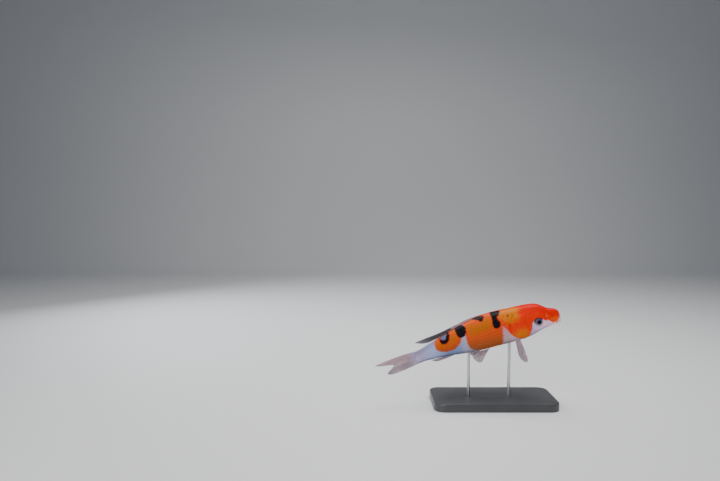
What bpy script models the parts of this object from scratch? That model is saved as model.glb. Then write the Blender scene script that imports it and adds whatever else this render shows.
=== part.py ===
"""A young koi carp, 19 cm long, as a life-size display model on a plain stand.

The fish is modelled straight, with its nose along +X, its tail along -X and its left side along +Y.
Each piece is then bent into the pose: the nose is up and the tail is swung to the fish's right.
Sizes along the fish are shares of its standard length, from the snout to the root of the tail fin.
"""

import math

import bmesh
import bpy
import numpy as np
from mathutils import Matrix, Vector

# Driving dimensions, in metres
LENGTH = 0.150  # standard length of the fish
SPINE_HEIGHT = 0.078  # of the spine above the floor, at the stand's centre
SPINE_CENTRE = 0.45  # share of the length that lies over the stand's centre
GAP = 0.0003  # between neighbouring pieces
BASE_SIZE = (0.126, 0.060, 0.008)
BASE_CORNER = 0.010
BASE_EDGE = 0.0012
ROD_RADIUS = 0.0016
ROD_CLEARANCE = 0.0003
ROD_PLACES = (0.37, 0.66)  # shares of the length where the two rods enter the belly
ROD_SINK = 0.005  # depth of a rod's ends in the belly and in the base

# Outline of the body: (share of the length, share of the length) points.
SNOUT = -0.006  # share at the tip of the snout, a little ahead of where lengths are taken from
SNOUT_LEVEL = -0.012
SNOUT_ROUNDING = 0.027
BACK = (
    (0.00, 0.022), (0.035, 0.039), (0.07, 0.051), (0.105, 0.082), (0.14, 0.097), (0.18, 0.1045),
    (0.24, 0.109), (0.32, 0.1125), (0.42, 0.118), (0.50, 0.117), (0.60, 0.104), (0.71, 0.086),
    (0.80, 0.070), (0.88, 0.057), (0.95, 0.048), (1.00, 0.043),
)
BELLY = (
    (0.00, -0.064), (0.035, -0.068), (0.07, -0.073), (0.105, -0.079), (0.15, -0.089),
    (0.21, -0.106), (0.28, -0.116), (0.36, -0.120), (0.46, -0.120), (0.56, -0.118),
    (0.66, -0.108), (0.76, -0.088), (0.85, -0.068), (0.93, -0.053), (1.00, -0.043),
)
HALF_WIDTH = (
    (0.00, 0.029), (0.035, 0.036), (0.08, 0.047), (0.14, 0.062), (0.20, 0.072), (0.28, 0.0795),
    (0.36, 0.081), (0.46, 0.078), (0.56, 0.070), (0.66, 0.059), (0.76, 0.045), (0.86, 0.031),
    (0.94, 0.020), (1.00, 0.013),
)
WIDEST_LEVEL = (
    (0.00, -0.034), (0.08, -0.026), (0.16, -0.016), (0.26, -0.012), (0.40, -0.006),
    (0.60, -0.002), (0.80, 0.002), (1.00, 0.001),
)
BACK_FULLNESS = ((0.00, 2.1), (0.12, 2.5), (0.25, 2.35), (0.40, 2.1), (0.70, 2.0), (1.00, 2.0))
BELLY_FULLNESS = ((0.00, 2.1), (0.12, 2.3), (0.30, 2.45), (0.55, 2.35), (0.75, 2.1), (1.00, 2.0))

# Pose: degrees along the spine, by share of the length. Turn is to the fish's left, rise is nose up.
TURN = ((-0.10, -9.0), (0.25, -8.0), (0.45, -3.0), (0.65, 5.0), (0.85, 15.0), (1.05, 25.0), (1.35, 32.0))
RISE = ((-0.10, 17.0), (0.50, 17.0), (0.80, 19.0), (1.00, 17.5), (1.35, 9.0))
ROLL = ((-0.10, 0.0), (0.75, 0.0), (1.00, -7.0), (1.35, -18.0))

# The gill slit, by angle from the ridge of the back, and the lengths that the trunk is divided into
GILL_LINE = ((0.0, 0.262), (40.0, 0.285), (75.0, 0.331), (105.0, 0.340), (140.0, 0.297), (180.0, 0.237))
TRUNK_END = 0.57
STALK_START = 0.80
SLIT_DEPTH = 0.0022
AROUND = 32  # facets around the body
ANGLES = np.arange(AROUND) * 360 / AROUND

# The gill covers: plates let into the sides of the head
COVER_FACETS = slice(5, 14)  # the ones of ANGLES that a cover spans
COVER_WIDTH = 0.105  # at its middle, as a share of the length
COVER_THICKNESS = 0.0016
COVER_PROUD = 0.0002

# The mouth: what lies below this line, from the lips back to the chin, is the lower jaw
MOUTH_FRONT = (-0.03, -0.048)  # (share of the length behind the snout, level)
MOUTH_CORNER = (0.046, -0.056)
CHIN = (0.130, -0.088)
BELOW_CHIN = -0.15
JAW_HALF_WIDTH = 0.08

EYE_PLACE = (0.147, 90.0)  # share of the length, and angle from the ridge of the back
EYE_RADIUS = 0.0325
EYE_THICKNESS = 0.021
EYE_PROUD = 0.011

# Feelers: root, tip and bow as (ahead, outwards, up) shares of the length, and thickness in metres
LIP_BARBEL = ((-0.018, 0.0350, -0.047), (-0.012, 0.0465, -0.063), (0.001, 0.002, 0.001), 0.0007)
MOUTH_BARBEL = ((-0.042, 0.0362, -0.056), (-0.020, 0.050, -0.079), (0.001, 0.003, -0.002), 0.0009)
BARBEL_TAPER = 0.42

# Fins. A table gives a value by the place t along the fin's root, and lengths are shares of LENGTH.
FIN_EDGE = 0.0005  # thickness at the free edge, in metres
DORSAL_ROOT = (0.485, 0.835)
DORSAL_SLOPE = (  # degrees above the spine
    (0.0, 1.0), (0.15, -3.0), (0.50, 0.0), (0.60, 2.0), (0.70, 4.0), (0.80, 5.0), (0.90, 1.0), (1.0, -4.0),
)
DORSAL_REACH = (
    (0.0, 0.050), (0.06, 0.110), (0.14, 0.150), (0.50, 0.135), (0.60, 0.142), (0.70, 0.190),
    (0.80, 0.250), (0.90, 0.165), (1.0, 0.070),
)
DORSAL_THICKNESS = 0.0012
ANAL_ROOT = (0.765, 0.840)
ANAL_SLOPE = ((0.0, -1.0), (1.0, 9.0))
ANAL_REACH = ((0.0, 0.05), (0.12, 0.105), (0.30, 0.118), (1.0, 0.095))
TAIL_ROOT_CURVE = 0.018  # how far the middle of the tail's root lies behind its ends
TAIL_ROOT_DEPTH = 0.94  # of the stalk's own depth
TAIL_SPREAD = ((-1.0, -2.5), (0.0, 0.0), (1.0, 10.5))  # degrees above the spine
TAIL_BOW = ((-1.0, 0.065), (0.0, 0.0), (1.0, -0.13))  # upwards
TAIL_REACH = (
    (-1.0, 0.236), (-0.85, 0.254), (-0.50, 0.254), (-0.20, 0.236), (0.05, 0.208), (0.30, 0.186),
    (0.45, 0.205), (0.60, 0.255), (0.78, 0.318), (0.93, 0.352), (1.0, 0.336),
)
TAIL_THICKNESS = 0.0018
# Paired fins: (share, angle) of the root's middle and the change to its end at t of 1, the
# directions (ahead, outwards, up) of the middle ray and of the fin's chord, and half its spread.
PECTORAL_ROOT = (0.316, 136.0)
PECTORAL_ROOT_RUN = (-0.016, -4.5)
PECTORAL_CHORD = (0.45, 0.85, 0.30)
PECTORAL_SPREAD = 11.0
PECTORAL_REACH = ((-1.0, 0.088), (-0.6, 0.120), (0.0, 0.146), (0.6, 0.160), (0.9, 0.154), (1.0, 0.138))
PECTORAL_BOW = (-0.06, 0.0, -0.10)
PECTORAL_DOWN = (0.05, 0.50, -0.86)  # middle ray of the right fin, which is spread down as a brake
PECTORAL_OUT = (-0.25, 0.95, -0.12)  # and of the left one, held out level
PELVIC_ROOT = (0.530, 154.0)
PELVIC_ROOT_RUN = (-0.013, -4.0)
PELVIC_MIDDLE = (-0.94, 0.26, -0.18)
PELVIC_CHORD = (0.20, 0.35, -0.75)
PELVIC_SPREAD = 22.0
PELVIC_REACH = ((-1.0, 0.105), (-0.5, 0.124), (0.2, 0.132), (0.75, 0.128), (1.0, 0.112))
PELVIC_BOW = (0.0, 0.0, -0.05)
FIN_ROOT_THICKNESS = 0.0011
ROOT_LIFT = 0.0009  # of a paired fin's root above the skin, in metres

# Colour, roughness and metallic value of each piece
FINISHES = {
    "head": ((0.76, 0.06, 0.01), 0.30, 0.0),
    "lower_jaw": ((0.68, 0.60, 0.62), 0.30, 0.0),
    "gill_cover_left": ((0.74, 0.10, 0.01), 0.32, 0.0),
    "gill_cover_right": ((0.74, 0.12, 0.01), 0.32, 0.0),
    "trunk_front": ((0.66, 0.16, 0.01), 0.38, 0.0),
    "trunk_rear": ((0.60, 0.20, 0.05), 0.38, 0.0),
    "tail_stalk": ((0.46, 0.52, 0.68), 0.36, 0.0),
    "eye_left": ((0.06, 0.08, 0.16), 0.10, 0.0),
    "eye_right": ((0.05, 0.07, 0.15), 0.10, 0.0),
    "lip_barbel_left": ((0.78, 0.62, 0.55), 0.35, 0.0),
    "lip_barbel_right": ((0.78, 0.60, 0.53), 0.35, 0.0),
    "mouth_barbel_left": ((0.80, 0.66, 0.60), 0.35, 0.0),
    "mouth_barbel_right": ((0.80, 0.64, 0.58), 0.35, 0.0),
    "dorsal_fin": ((0.09, 0.09, 0.15), 0.40, 0.0),
    "anal_fin": ((0.62, 0.54, 0.60), 0.40, 0.0),
    "tail_fin": ((0.55, 0.47, 0.54), 0.40, 0.0),
    "pectoral_fin_left": ((0.66, 0.58, 0.64), 0.40, 0.0),
    "pectoral_fin_right": ((0.64, 0.57, 0.64), 0.40, 0.0),
    "pelvic_fin_left": ((0.50, 0.48, 0.56), 0.40, 0.0),
    "pelvic_fin_right": ((0.48, 0.47, 0.56), 0.40, 0.0),
    "stand_base": ((0.035, 0.036, 0.040), 0.42, 0.0),
    "stand_rod_front": ((0.60, 0.60, 0.61), 0.28, 1.0),
    "stand_rod_rear": ((0.60, 0.60, 0.61), 0.28, 1.0),
}


def spline(points):
    """A smooth function through (place, value) points: a natural cubic spline."""
    x, y = np.array(points, float).T
    step, count = np.diff(x), len(x)
    matrix, right = np.eye(count), np.zeros(count)
    for i in range(1, count - 1):
        matrix[i, i - 1 : i + 2] = step[i - 1], 2 * (step[i - 1] + step[i]), step[i]
        right[i] = 6 * ((y[i + 1] - y[i]) / step[i] - (y[i] - y[i - 1]) / step[i - 1])
    curve = np.linalg.solve(matrix, right)

    def value(at):
        at = np.clip(at, x[0], x[-1])
        i = np.clip(np.searchsorted(x, at) - 1, 0, count - 2)
        p, q, h = x[i + 1] - at, at - x[i], step[i]
        return (
            (curve[i] * p**3 + curve[i + 1] * q**3) / (6 * h)
            + (y[i] / h - curve[i] * h / 6) * p
            + (y[i + 1] / h - curve[i + 1] * h / 6) * q
        )

    return value


back, belly, half_width = spline(BACK), spline(BELLY), spline(HALF_WIDTH)
widest_level = spline(WIDEST_LEVEL)
back_fullness, belly_fullness = spline(BACK_FULLNESS), spline(BELLY_FULLNESS)
gill_line = spline(GILL_LINE)


def signed_power(value, power):
    return np.sign(value) * np.abs(value) ** power


def on_skin(share, degrees):
    """The skin of the straight fish, at a share of its length and an angle from the back's ridge.

    Angles are plus on the fish's left side and minus on its right.
    """
    share, angle = np.broadcast_arrays(np.asarray(share, float), np.radians(degrees))
    ahead = np.clip(1 - (share - SNOUT) / SNOUT_ROUNDING, 0, 1)
    cap = np.sqrt(1 - ahead**2)
    middle = SNOUT_LEVEL + (widest_level(share) - SNOUT_LEVEL) * cap
    top = SNOUT_LEVEL + (back(share) - SNOUT_LEVEL) * cap
    bottom = SNOUT_LEVEL + (belly(share) - SNOUT_LEVEL) * cap
    upper = np.cos(angle) >= 0
    power = 2 / np.where(upper, back_fullness(share), belly_fullness(share))
    side = half_width(share) * cap * signed_power(np.sin(angle), power)
    reach = np.where(upper, top - middle, middle - bottom)
    level = middle + reach * signed_power(np.cos(angle), power)
    return np.stack([-share, side, level], -1) * LENGTH


def skin_normal(share, degrees):
    """The outward direction of the skin there."""
    small = 1e-3
    share = np.maximum(share, SNOUT + 2 * small)
    along = on_skin(share + small, degrees) - on_skin(share - small, degrees)
    round_it = on_skin(share, np.add(degrees, 0.5)) - on_skin(share, np.subtract(degrees, 0.5))
    normal = np.cross(round_it, along)
    return normal / np.linalg.norm(normal, axis=-1, keepdims=True)


def lifted(share, degrees, lift):
    """The place that far above the skin, in metres."""
    return on_skin(share, degrees) + skin_normal(share, degrees) * lift


def spine_frames():
    """Places behind the snout, with the spine's points and its left and up directions in the pose."""
    share = np.linspace(-0.10, 1.35, 1451)
    turn, rise, roll = (np.radians(spline(table)(share)) for table in (TURN, RISE, ROLL))
    ahead = np.stack([np.cos(rise) * np.cos(turn), np.cos(rise) * np.sin(turn), np.sin(rise)], -1)
    level_left = np.stack([-np.sin(turn), np.cos(turn), np.zeros_like(turn)], -1)
    level_up = np.cross(ahead, level_left)
    left = level_left * np.cos(roll)[:, None] + level_up * np.sin(roll)[:, None]
    up = np.cross(ahead, left)
    steps = -(ahead[1:] + ahead[:-1]) / 2 * np.diff(share)[:, None] * LENGTH
    points = np.concatenate([np.zeros((1, 3)), np.cumsum(steps, axis=0)])
    centre = np.array([np.interp(SPINE_CENTRE, share, points[:, i]) for i in range(3)])
    return share, points - centre + (0, 0, SPINE_HEIGHT), left, up


SPINE = spine_frames()


def posed(points):
    """Points of the straight fish, moved to where they are on the bent one."""
    points = np.asarray(points, float)
    places, spine, left, up = SPINE
    share = -points[..., 0] / LENGTH
    centre, sideways, upwards = (
        np.stack([np.interp(share, places, table[:, i]) for i in range(3)], -1)
        for table in (spine, left, up)
    )
    return centre + sideways * points[..., 1:2] + upwards * points[..., 2:3]


def link_mesh(name, mesh):
    made = bpy.data.objects.new(name, mesh)
    bpy.context.scene.collection.objects.link(made)
    return made


def link_shape(name, shape):
    """The bmesh as an object. The bmesh is freed."""
    mesh = bpy.data.meshes.new(name)
    shape.to_mesh(mesh)
    shape.free()
    return link_mesh(name, mesh)


def add_piece(name, points, faces):
    """One object, its faces turned outwards."""
    mesh = bpy.data.meshes.new(name)
    mesh.from_pydata([tuple(p) for p in points], [], faces)
    shape = bmesh.new()
    shape.from_mesh(mesh)
    bmesh.ops.recalc_face_normals(shape, faces=shape.faces)
    shape.to_mesh(mesh)
    shape.free()
    return link_mesh(name, mesh)


def tube(name, rings, front, rear):
    """A solid through rings of points, each end closed on a single point."""
    around = len(rings[0])
    points = [front, *(p for ring in rings for p in ring), rear]
    last = len(points) - 1
    faces = []
    for i in range(around):
        j = (i + 1) % around
        faces.append((0, 1 + i, 1 + j))
        faces.append((last, last - around + j, last - around + i))
        for r in range(len(rings) - 1):
            a, b = 1 + r * around, 1 + (r + 1) * around
            faces.append((a + i, b + i, b + j, a + j))
    return add_piece(name, points, faces)


def sheet(name, outer, inner):
    """A solid between two grids of points, closed round their edges."""
    rows, columns = outer.shape[:2]
    points = [*outer.reshape(-1, 3), *inner.reshape(-1, 3)]
    under = rows * columns
    faces = []
    for r in range(rows - 1):
        for c in range(columns - 1):
            a = r * columns + c
            quad = (a, a + 1, a + columns + 1, a + columns)
            faces.append(quad)
            faces.append(tuple(under + i for i in reversed(quad)))
    edge = list(range(columns))
    edge += [r * columns + columns - 1 for r in range(1, rows)]
    edge += [(rows - 1) * columns + c for c in range(columns - 2, -1, -1)]
    edge += [r * columns for r in range(rows - 2, 0, -1)]
    for a, b in zip(edge, edge[1:] + edge[:1]):
        faces.append((b, a, under + a, under + b))
    return add_piece(name, points, faces)


def carve(piece, cutter, operation="DIFFERENCE"):
    """Cuts the piece with the cutter, which is then removed."""
    modifier = piece.modifiers.new("carve", "BOOLEAN")
    modifier.operation = operation
    modifier.object = cutter
    graph = bpy.context.evaluated_depsgraph_get()
    old = piece.data
    piece.data = bpy.data.meshes.new_from_object(piece.evaluated_get(graph))
    piece.modifiers.clear()
    bpy.data.meshes.remove(old)
    bpy.data.objects.remove(cutter)
    return piece


def pose(piece):
    """Bends a straight piece into the pose."""
    mesh = piece.data
    points = np.empty(len(mesh.vertices) * 3)
    mesh.vertices.foreach_get("co", points)
    mesh.vertices.foreach_set("co", posed(points.reshape(-1, 3)).astype(np.float32).ravel())
    mesh.update()
    return piece


def smooth(piece, sharpest=40.0):
    piece.data.shade_smooth()
    piece.data.set_sharp_from_angle(angle=math.radians(sharpest))
    return piece


def body_length(name, start, end, rings, crowd=1.0, rims=(False, False)):
    """A length of the body.

    Start and end are shares of the length at each of ANGLES, or one share for all. An end with a rim
    is square to the skin for the depth of the gill slit.
    """
    start, end = (np.broadcast_to(limit, ANGLES.shape) for limit in (start, end))
    sections = []
    for i in range(rings):
        share = start + (end - start) * (i / (rings - 1)) ** crowd
        sections.append(on_skin(share, ANGLES))
    if rims[0]:
        sections.insert(0, lifted(start, ANGLES, -SLIT_DEPTH))
    if rims[1]:
        sections.append(lifted(end, ANGLES, -SLIT_DEPTH))
    centres = [
        (-share.mean() * LENGTH, 0, widest_level(share.mean()) * LENGTH) for share in (start, end)
    ]
    return tube(name, sections, *centres)


def head_solid(name):
    """The whole head, from the snout to the gill slit, before its parts are cut from it."""
    slit = gill_line(np.minimum(ANGLES, 360 - ANGLES))
    first, rings, crowd = SNOUT + 0.0035, 16, 1.5
    head = body_length(name, first, slit - GAP / LENGTH / 2, rings, crowd, rims=(False, True))
    head.data.vertices[0].co = (-SNOUT * LENGTH, 0, SNOUT_LEVEL * LENGTH)
    return head


def mouth_prism(margin):
    """What lies below the mouth: a wedge from the lips back to the chin, larger by the margin."""
    (ahead, lip), (corner, corner_level), (end, chin) = MOUTH_FRONT, MOUTH_CORNER, CHIN
    profile = [
        (-ahead * LENGTH, lip * LENGTH + margin),
        (-corner * LENGTH - 0.6 * margin, corner_level * LENGTH + margin),
        (-end * LENGTH - margin, chin * LENGTH),
        (-end * LENGTH - margin, BELOW_CHIN * LENGTH),
        (-ahead * LENGTH, BELOW_CHIN * LENGTH),
    ]
    side = JAW_HALF_WIDTH * LENGTH
    points = [(x, y, z) for y in (-side, side) for x, z in profile]
    n = len(profile)
    faces = [tuple(range(n)), tuple(range(2 * n - 1, n - 1, -1))]
    faces += [(i, (i + 1) % n, n + (i + 1) % n, n + i) for i in range(n)]
    return add_piece("mouth_prism", points, faces)


def gill_plate(name, side, cutter=False):
    """The plate over the gills, between the cheek and the gill slit.

    The cutter that makes room for it is larger by the gap all round, and open to the slit.
    """
    angle = ANGLES[COVER_FACETS].copy()
    bulge = 0.95  # of a half circle, which the plate's front edge follows
    width = COVER_WIDTH * np.sqrt(1 - (bulge * np.linspace(-1, 1, len(angle))) ** 2)
    rear = gill_line(angle) - GAP / LENGTH / 2
    front = gill_line(angle) - width
    inside, outside = -COVER_THICKNESS, COVER_PROUD
    if cutter:
        body_radius, past_slit, above_skin = 0.07, 0.012, 0.0020
        angle[[0, -1]] += math.degrees(GAP / LENGTH / body_radius) * np.array((-1, 1))
        rear = rear + past_slit
        front = front - 1.3 * GAP / LENGTH
        inside, outside = inside - GAP, above_skin
    share = front + (rear - front) * np.linspace(0, 1, 6)[:, None]
    grids = [lifted(share, side * angle, lift) for lift in (outside, inside)]
    if side < 0:
        grids = [grid[::-1] for grid in grids]
    return sheet(name, *grids)


def eye_ball(name, side, margin=0.0):
    """A flattened ball that looks out of the cheek. The margin makes the socket's cutter."""
    share, degrees = EYE_PLACE
    out = Vector(skin_normal(share, side * degrees))
    surface = Vector(on_skin(share, side * degrees))
    shape = bmesh.new()
    bmesh.ops.create_uvsphere(shape, u_segments=20, v_segments=10, radius=1)
    wide, thick = EYE_RADIUS * LENGTH + margin, EYE_THICKNESS * LENGTH + margin
    size = Matrix.Diagonal((wide, wide, thick, 1))
    turn = out.to_track_quat("Z", "X").to_matrix().to_4x4()
    centre = surface - out * (EYE_THICKNESS - EYE_PROUD) * LENGTH
    bmesh.ops.transform(shape, matrix=Matrix.Translation(centre) @ turn @ size, verts=shape.verts)
    return link_shape(name, shape)


def unit(vector):
    return np.asarray(vector, float) / np.linalg.norm(vector)


def by_table(table, t):
    return np.interp(t, *zip(*table))


def fin(name, roots, directions, lengths, bow=(0, 0, 0), rows=6, root_thickness=FIN_ROOT_THICKNESS):
    """A thin fan of rays. Each leaves its root in its direction and bends by the bow towards its tip.

    The bow is one vector for all the rays or one for each, as a share of the ray's length.
    """
    along = np.linspace(0, 1, rows)[:, None, None]
    reach = lengths[:, None] * LENGTH
    middle = roots + along * reach * directions + along**2 * reach * np.array(bow)
    across = np.gradient(middle, axis=1)
    outwards = np.gradient(middle, axis=0)
    normal = np.cross(across, outwards)
    normal /= np.linalg.norm(normal, axis=-1, keepdims=True)
    thickness = root_thickness + (FIN_EDGE - root_thickness) * np.sqrt(along)
    return sheet(name, middle + normal * thickness / 2, middle - normal * thickness / 2)


def sloping(degrees):
    """Directions that run back along the body, raised by these angles."""
    angle = np.radians(degrees)
    return np.stack([-np.cos(angle), 0 * angle, np.sin(angle)], -1)


def dorsal_fin():
    """The back fin, laid down along the back, with its tip trailing over the stalk of the tail."""
    t = np.linspace(0, 1, 16)
    share = by_table(((0, DORSAL_ROOT[0]), (1, DORSAL_ROOT[1])), t)
    roots = np.stack([-share, 0 * t, back(share)], -1) * LENGTH + (0, 0, GAP)
    return fin(
        "dorsal_fin", roots, sloping(by_table(DORSAL_SLOPE, t)), by_table(DORSAL_REACH, t),
        root_thickness=DORSAL_THICKNESS,
    )


def anal_fin():
    """The fin behind the vent, nearly closed."""
    t = np.linspace(0, 1, 7)
    share = by_table(((0, ANAL_ROOT[0]), (1, ANAL_ROOT[1])), t)
    roots = np.stack([-share, 0 * t, belly(share)], -1) * LENGTH - (0, 0, GAP)
    return fin("anal_fin", roots, sloping(by_table(ANAL_SLOPE, t)), by_table(ANAL_REACH, t))


def tail_fin():
    """The forked tail fin, half closed, with its upper lobe longer than its lower one."""
    t = np.linspace(-1, 1, 17)
    level = np.where(t > 0, back(1.0), -belly(1.0)) * t * TAIL_ROOT_DEPTH
    share = 1.0 + TAIL_ROOT_CURVE * (1 - t**2)
    roots = np.stack([-share, 0 * t, level], -1) * LENGTH - (GAP, 0, 0)
    bow = np.stack([0 * t, 0 * t, by_table(TAIL_BOW, t)], -1)
    return fin(
        "tail_fin", roots, sloping(by_table(TAIL_SPREAD, t)), by_table(TAIL_REACH, t), bow,
        rows=8, root_thickness=TAIL_THICKNESS,
    )


def paired_fin(name, side, rays, root, run, middle, chord, spread, reach, bow):
    """A fin of a pair. Its rays fan out from the middle one, towards the chord and away from it."""
    t = np.linspace(-1, 1, rays)
    roots = lifted(root[0] + run[0] * t, side * (root[1] + run[1] * t), ROOT_LIFT)
    middle = unit((middle[0], side * middle[1], middle[2]))
    chord = unit((chord[0], side * chord[1], chord[2]))
    chord = unit(chord - middle * (chord @ middle))
    angle = np.radians(spread * t)[:, None]
    directions = middle * np.cos(angle) + chord * np.sin(angle)
    return fin(name, roots, directions, by_table(reach, t), bow)


def barbel(name, side, root, tip, bow, thickness):
    """A soft feeler beside the mouth, tapering along its curve."""
    root, tip, bow = (np.array((x, side * y, z)) * LENGTH for x, y, z in (root, tip, bow))
    sections, sides = 7, 8
    angle = np.arange(sides)[:, None] * 2 * math.pi / sides
    rings = []
    for t in np.linspace(0, 1, sections):
        centre = root + (tip - root) * t + bow * 4 * t * (1 - t)
        ahead = unit(tip - root + bow * 4 * (1 - 2 * t))
        first = unit(np.cross(ahead, (1, 0, 0.3)))
        second = np.cross(ahead, first)
        radius = thickness / 2 * (1 - BARBEL_TAPER * t)
        rings.append(centre + radius * (first * np.cos(angle) + second * np.sin(angle)))
    end = tip + unit(tip - root) * thickness * 0.2
    return tube(name, rings, root, end)


def stand_base():
    """A flat plate with round corners and a small bevel."""
    x, y, z = BASE_SIZE
    place = Matrix.Translation((0, 0, z / 2)) @ Matrix.Diagonal((x, y, z, 1))
    shape = bmesh.new()
    bmesh.ops.create_cube(shape, size=1, matrix=place)
    upright = [e for e in shape.edges if abs(e.verts[0].co.z - e.verts[1].co.z) > z / 2]
    bmesh.ops.bevel(shape, geom=upright, offset=BASE_CORNER, segments=6, affect="EDGES", profile=0.5)
    rim = [e for e in shape.edges if min(v.co.z for v in e.verts) > z * 0.9]
    bmesh.ops.bevel(shape, geom=rim, offset=BASE_EDGE, segments=2, affect="EDGES", profile=0.5)
    return link_shape("stand_base", shape)


def upright_rod(name, at, low, high, radius, sides=20):
    """An upright cylinder from one height to another."""
    shape = bmesh.new()
    place = Matrix.Translation((at[0], at[1], (low + high) / 2))
    bmesh.ops.create_cone(
        shape, cap_ends=True, segments=sides, radius1=radius, radius2=radius, depth=high - low, matrix=place
    )
    return link_shape(name, shape)


def build_head():
    """The head with its lower jaw, gill plates and eyes, each let into it with a thin gap."""
    head, jaw = head_solid("head"), head_solid("lower_jaw")
    carve(jaw, mouth_prism(0.0), "INTERSECT")
    carve(head, mouth_prism(GAP))
    pieces = [head, jaw]
    for word, side in (("left", 1), ("right", -1)):
        carve(head, gill_plate("cutter", side, cutter=True))
        pieces.append(gill_plate(f"gill_cover_{word}", side))
        carve(head, eye_ball("cutter", side, GAP))
        pieces.append(eye_ball(f"eye_{word}", side))
    return pieces


def build_body():
    """The trunk in two lengths and the stalk of the tail."""
    slit = gill_line(np.minimum(ANGLES, 360 - ANGLES))
    half_gap = GAP / LENGTH / 2
    return [
        body_length("trunk_front", slit + half_gap, TRUNK_END - half_gap, 9, rims=(True, False)),
        body_length("trunk_rear", TRUNK_END + half_gap, STALK_START - half_gap, 8),
        body_length("tail_stalk", STALK_START + half_gap, 1.0, 8),
    ]


def build_fins():
    pieces = [dorsal_fin(), anal_fin(), tail_fin()]
    for word, side, pectoral in (("left", 1, PECTORAL_OUT), ("right", -1, PECTORAL_DOWN)):
        pieces.append(
            paired_fin(
                f"pectoral_fin_{word}", side, 9, PECTORAL_ROOT, PECTORAL_ROOT_RUN, pectoral,
                PECTORAL_CHORD, PECTORAL_SPREAD, PECTORAL_REACH, PECTORAL_BOW,
            )
        )
        pieces.append(
            paired_fin(
                f"pelvic_fin_{word}", side, 8, PELVIC_ROOT, PELVIC_ROOT_RUN, PELVIC_MIDDLE,
                PELVIC_CHORD, PELVIC_SPREAD, PELVIC_REACH, PELVIC_BOW,
            )
        )
    return pieces


def build_barbels():
    """Two pairs of feelers: a short one on the upper lip, and a longer one at the corner of the mouth."""
    pieces = []
    for word, side in (("left", 1), ("right", -1)):
        pieces.append(barbel(f"lip_barbel_{word}", side, *LIP_BARBEL))
        pieces.append(barbel(f"mouth_barbel_{word}", side, *MOUTH_BARBEL))
    return pieces


def build_stand(bodies):
    """The plate and its two rods. The rods go into sockets in the plate and in the belly."""
    base = stand_base()
    top = BASE_SIZE[2]
    beyond = 0.01  # that a cutter reaches past the surface it enters by
    pieces = [base]
    for word, share, body in zip(("front", "rear"), ROD_PLACES, bodies):
        at = posed(on_skin(share, 180.0))
        end = at[2] + ROD_SINK
        wide = ROD_RADIUS + ROD_CLEARANCE
        carve(body, upright_rod("cutter", at, at[2] - beyond, end + GAP, wide))
        carve(base, upright_rod("cutter", at, top - ROD_SINK, top + beyond, wide))
        pieces.append(upright_rod(f"stand_rod_{word}", at, top - ROD_SINK + GAP, end, ROD_RADIUS))
    return pieces


def paint(piece):
    """Gives the piece its own material."""
    colour, roughness, metallic = FINISHES[piece.name]
    made = bpy.data.materials.new(f"{piece.name}_finish")
    made.use_nodes = True
    shader = made.node_tree.nodes["Principled BSDF"]
    shader.inputs["Base Color"].default_value = (*colour, 1)
    shader.inputs["Roughness"].default_value = roughness
    shader.inputs["Metallic"].default_value = metallic
    piece.data.materials.clear()
    piece.data.materials.append(made)


def main():
    for old in list(bpy.data.objects):
        bpy.data.objects.remove(old)
    body = build_body()
    fish = [*build_head(), *body, *build_fins(), *build_barbels()]
    for piece in fish:
        smooth(pose(piece))
    stand = build_stand(body[:2])
    for piece in stand:
        smooth(piece, 30.0)
    for piece in fish + stand:
        paint(piece)


main()
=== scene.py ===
"""Finish for the model of a young koi carp on its display stand.

The fish is drawn straight first, nose along +X, in shares of its length. Each piece is then bent
into the pose.
"""

import math

import bmesh
import bpy
import numpy as np
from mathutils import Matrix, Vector


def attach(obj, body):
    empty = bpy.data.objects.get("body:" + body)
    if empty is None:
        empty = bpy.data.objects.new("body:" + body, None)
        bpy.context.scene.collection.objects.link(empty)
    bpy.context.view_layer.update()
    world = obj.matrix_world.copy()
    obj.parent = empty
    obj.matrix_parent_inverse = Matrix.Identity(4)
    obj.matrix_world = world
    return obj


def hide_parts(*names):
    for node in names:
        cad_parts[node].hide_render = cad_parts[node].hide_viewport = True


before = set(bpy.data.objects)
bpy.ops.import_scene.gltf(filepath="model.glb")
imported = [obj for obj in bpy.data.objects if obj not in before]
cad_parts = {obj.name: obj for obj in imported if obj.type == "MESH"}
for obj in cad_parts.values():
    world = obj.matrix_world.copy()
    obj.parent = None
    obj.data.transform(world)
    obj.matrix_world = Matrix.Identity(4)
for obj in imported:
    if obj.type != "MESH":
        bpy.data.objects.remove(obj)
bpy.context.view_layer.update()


# ---------------------------------------------------------------------------------------------
# The camera. It looks level across the stand from the fish's right side, a little from above,
# with the fish low and to the right of the middle.

CAMERA_PLACE = (-0.1375, -0.652, 0.2148)
LOOKING_DOWN = 4  # degrees
LENS, SENSOR_WIDTH = 32.0, 36.0  # millimetres

camera = bpy.data.objects.new("camera", bpy.data.cameras.new("camera"))
camera.data.lens, camera.data.sensor_width = LENS, SENSOR_WIDTH
camera.data.clip_start = 0.01
camera.location = CAMERA_PLACE
camera.rotation_euler = (math.radians(90 - LOOKING_DOWN), 0, 0)
bpy.context.scene.collection.objects.link(camera)
bpy.context.scene.camera = camera


# ---------------------------------------------------------------------------------------------
# The skin: one closed skin over head, gill covers, trunk and the stalk of the tail. It is wet and
# bare on the head, with lips, nostrils, rims round the eyes and plates over the gills.
# It is drawn as rings round the straight body, pushed in and out, and bent along the spine.

LENGTH = 0.150  # from the snout to the root of the tail fin
SPINE_HEIGHT = 0.078
SPINE_CENTRE = 0.45
SNOUT = -0.006  # share at the tip of the snout
SNOUT_LEVEL = -0.012
SNOUT_ROUNDING = 0.027
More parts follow.
